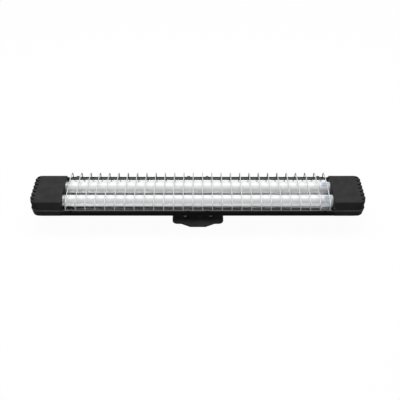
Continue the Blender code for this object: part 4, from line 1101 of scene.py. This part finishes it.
# %% Ferrules with their pins
for name, axis in tube_axes.items():
    for end, outward in (("left", -1), ("right", 1)):
        node = f"{name}_{end}_ferrule"
        low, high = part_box(node)
        face = (high.x if outward > 0 else low.x) - outward * PIN_LENGTH
        cup_depth = high.x - low.x - PIN_LENGTH
        cup, pin = ([(radius, face + outward * distance) for radius, distance in profile]
                    for profile in (cup_profile(-cup_depth), PIN_PROFILE))
        parts = [spun(cup, ARC_FACETS, centre=(0, axis.y, flange_level))]
        parts += [spun(pin, PIN_FACETS, centre=(0, axis.y + row * PIN_SPACING / 2, flange_level))
                  for row in (-1, 1)]
        stand_in(node + "_finish", joined(parts), ferrule_aluminium, node, sharp=50)
        print(node, "is", round(cup_depth * 1000, 2), "mm deep")

# %% [markdown]
# ## Lampholders, brackets and wiring
# These sit inside the caps and the tray, and show through the holes round the
# tubes and from behind. Their CAD solids have the right shape already, so they get
# soft edges and their own finishes.

# %% Lampholders, rotors, brackets and terminal block
FOLDED_EDGE = 0.00025
MOULDED_EDGE = 0.0004
ROTOR_EDGE = 0.0002
BLOCK_EDGE = 0.0003
for end in ("left", "right"):
    softened(end + "_lampholder_bracket", bracket_steel, FOLDED_EDGE)
    for name in ("front", "rear"):
        softened(f"{name}_{end}_lampholder", lampholder_plastic, MOULDED_EDGE)
        softened(f"{name}_tube_{end}_rotor", rotor_plastic, ROTOR_EDGE)
softened("terminal_block", lampholder_plastic, BLOCK_EDGE)
print("Inner pieces:", [name for name in SLOT_OF if "holder" in name or "rotor" in name])

# %% [markdown]
# ### The cable gland
# The supply cable goes in through a rubber gland in the tray's back. Two flanges
# hold it in its hole, and its outer lip is rounded, because rubber never has a
# sharp edge. It is a turned shape, so one profile draws it.

# %% Cable gland
GLAND_LIP = 0.0028
GLAND_NECK = 0.0057
GLAND_BORE = 0.003
GLAND_ROUND = 0.0008
GLAND_FACETS = 40
low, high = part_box("cable_gland")
middle = (low + high) / 2
gland_radius = (high.x - low.x) / 2


def rounded_lip(bottom, top):
    """Profile points of a flange with a round edge."""
    bulge = GLAND_ROUND * ARC_SHARE
    arc = [(gland_radius - GLAND_ROUND, 0), (gland_radius - bulge, bulge),
           (gland_radius, GLAND_ROUND)]
    return ([(radius, bottom + rise) for radius, rise in arc]
            + [(radius, top - rise) for radius, rise in reversed(arc)])


gland = [(GLAND_BORE, low.z), *rounded_lip(low.z, low.z + GLAND_LIP),
         (GLAND_NECK, low.z + GLAND_LIP), (GLAND_NECK, high.z - GLAND_LIP),
         *rounded_lip(high.z - GLAND_LIP, high.z), (GLAND_BORE, high.z)]
gland_shape = spun(gland, GLAND_FACETS, "Z", centre=(middle.x, middle.y, 0))
stand_in("rubber_gland", gland_shape, gland_rubber, "cable_gland")
print("Gland:", round(gland_radius * 2000, 1), "mm across")

# %% [markdown]
# ## Screws
# Small screws give a fixture its scale, so each gets a domed head with a cross
# recess. The recess could be cut with a Boolean. Here the head is built from rings
# that all have the same number of points, and the recess is simply a ring whose
# outline is a cross, followed by a smaller one further down.

# %% A screw with a cross recess
SCREW_FACETS = 48
TIP_SHARE = 0.6
ARM_SHARE = 0.52
ARM_WIDTH_SHARE = 0.13
RECESS_DEPTH_SHARE = 0.75
TAPER_SHARE = 0.55
# shares of the head's radius and height, from its underside to its flat top
HEAD_DOME = [(1, 0), (1, 0.4), (0.93, 0.72), (0.78, 0.93), (0.60, 1)]


def cross_reach(angle, arm, half_width):
    """How far a cross with four arms reaches in one direction."""
    quarter = (angle + math.pi / 4) % (math.pi / 2) - math.pi / 4
    across = abs(math.sin(quarter))
    return arm if across * arm < half_width else half_width / across


def screw_shape(head_radius, head_height, shank_radius, shank_length, turn):
    """A pan-head screw that points down, with the underside of its head at z = 0."""
    angles = turns(SCREW_FACETS)
    cross = [cross_reach(a, head_radius * ARM_SHARE, head_radius * ARM_WIDTH_SHARE)
             for a in angles]
    outline = [(shank_radius * TIP_SHARE, -shank_length),
               (shank_radius, -shank_length + shank_radius / 2), (shank_radius, 0)]
    outline += [(head_radius * across, head_height * up) for across, up in HEAD_DOME]
    levels = [([radius] * SCREW_FACETS, height) for radius, height in outline]
    levels += [(cross, head_height),
               ([reach * TAPER_SHARE for reach in cross], head_height * (1 - RECESS_DEPTH_SHARE))]
    shape = bmesh.new()
    rings = [[shape.verts.new((reach * math.cos(a + turn), reach * math.sin(a + turn), height))
              for reach, a in zip(reaches, angles)] for reaches, height in levels]
    skin(shape, rings)
    shape.faces.new(rings[0])
    shape.faces.new(rings[-1])
    return shape


# %% Place every screw
SMALL_HEAD = 0.0018
MOUNT_HEAD = 0.0024
FLANGE_SHANK = 0.0014
MOUNT_SHANK = 0.00225
EARTH_SHANK = 0.002
LOWER_SHANK = 0.0015
TURN_STEP = 0.7
SCREWS = [(node, SMALL_HEAD, FLANGE_SHANK, 1, screw_black) for node in FLANGE_SCREWS]
SCREWS += [(f"mount_screw_{i}", MOUNT_HEAD, MOUNT_SHANK, 1, mount_steel) for i in range(1, 5)]
SCREWS += [("earth_screw", SMALL_HEAD, EARTH_SHANK, 1, screw_steel)]
SCREWS += [(node, SMALL_HEAD, LOWER_SHANK, -1, screw_steel)
           for node in ("shoe_screw_1", "shoe_screw_2", "left_cap_screw", "right_cap_screw")]
for order, (node, head_height, shank_radius, upright, material) in enumerate(SCREWS):
    low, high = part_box(node)
    middle = (low + high) / 2
    shape = screw_shape(high.x - middle.x, head_height, shank_radius,
                        high.z - low.z - head_height, turn=order * TURN_STEP)
    underside = high.z - head_height if upright > 0 else low.z + head_height
    if upright < 0:
        shape.transform(Matrix.Rotation(math.pi, 4, "X"))
    shape.transform(Matrix.Translation((middle.x, middle.y, underside)))
    stand_in(node + "_finish", shape, material, node, sharp=32)
print("Screws:", len(SCREWS))

# %% Washers under the flange screws, and the pivot
WASHER_RADIUS = 0.0026
WASHER_HOLE = 0.0016
WASHER_THICKNESS = 0.00028
WASHER_FACETS = 40
PIVOT_EDGE = 0.0003
washer_flat = WASHER_RADIUS - EDGE_RADIUS / 2
washer = [(WASHER_HOLE, -WASHER_THICKNESS), (washer_flat, -WASHER_THICKNESS),
          (WASHER_RADIUS, -WASHER_THICKNESS / 2), (washer_flat, 0), (WASHER_HOLE, 0)]
for node in FLANGE_SCREWS:
    low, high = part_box(node)
    middle = (low + high) / 2
    shape = spun(washer, WASHER_FACETS, "Z", centre=(middle.x, middle.y, high.z - SMALL_HEAD))
    piece = finished(node + "_washer", shape, screw_steel)
    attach(piece, "housing")
for node in ("pivot_bolt", "pivot_nut"):
    softened(node, screw_steel, PIVOT_EDGE)
print("Washers:", len(FLANGE_SCREWS))

# %% [markdown]
# ## What stays from the CAD model
# The boards, drivers and leads have the right shape and hide inside other pieces.
# They keep their solids and only change their material.

# %% Finish the nodes that stay
FINISH_OF_SLOT = {"circuit_board": circuit_board, "lead_insulation": lead_insulation}
for node, solid in frame["nodes"].items():
    if not solid.hide_render:
        solid.data.materials.clear()
        solid.data.materials.append(FINISH_OF_SLOT[SLOT_OF[node]])
        print("Kept", node)
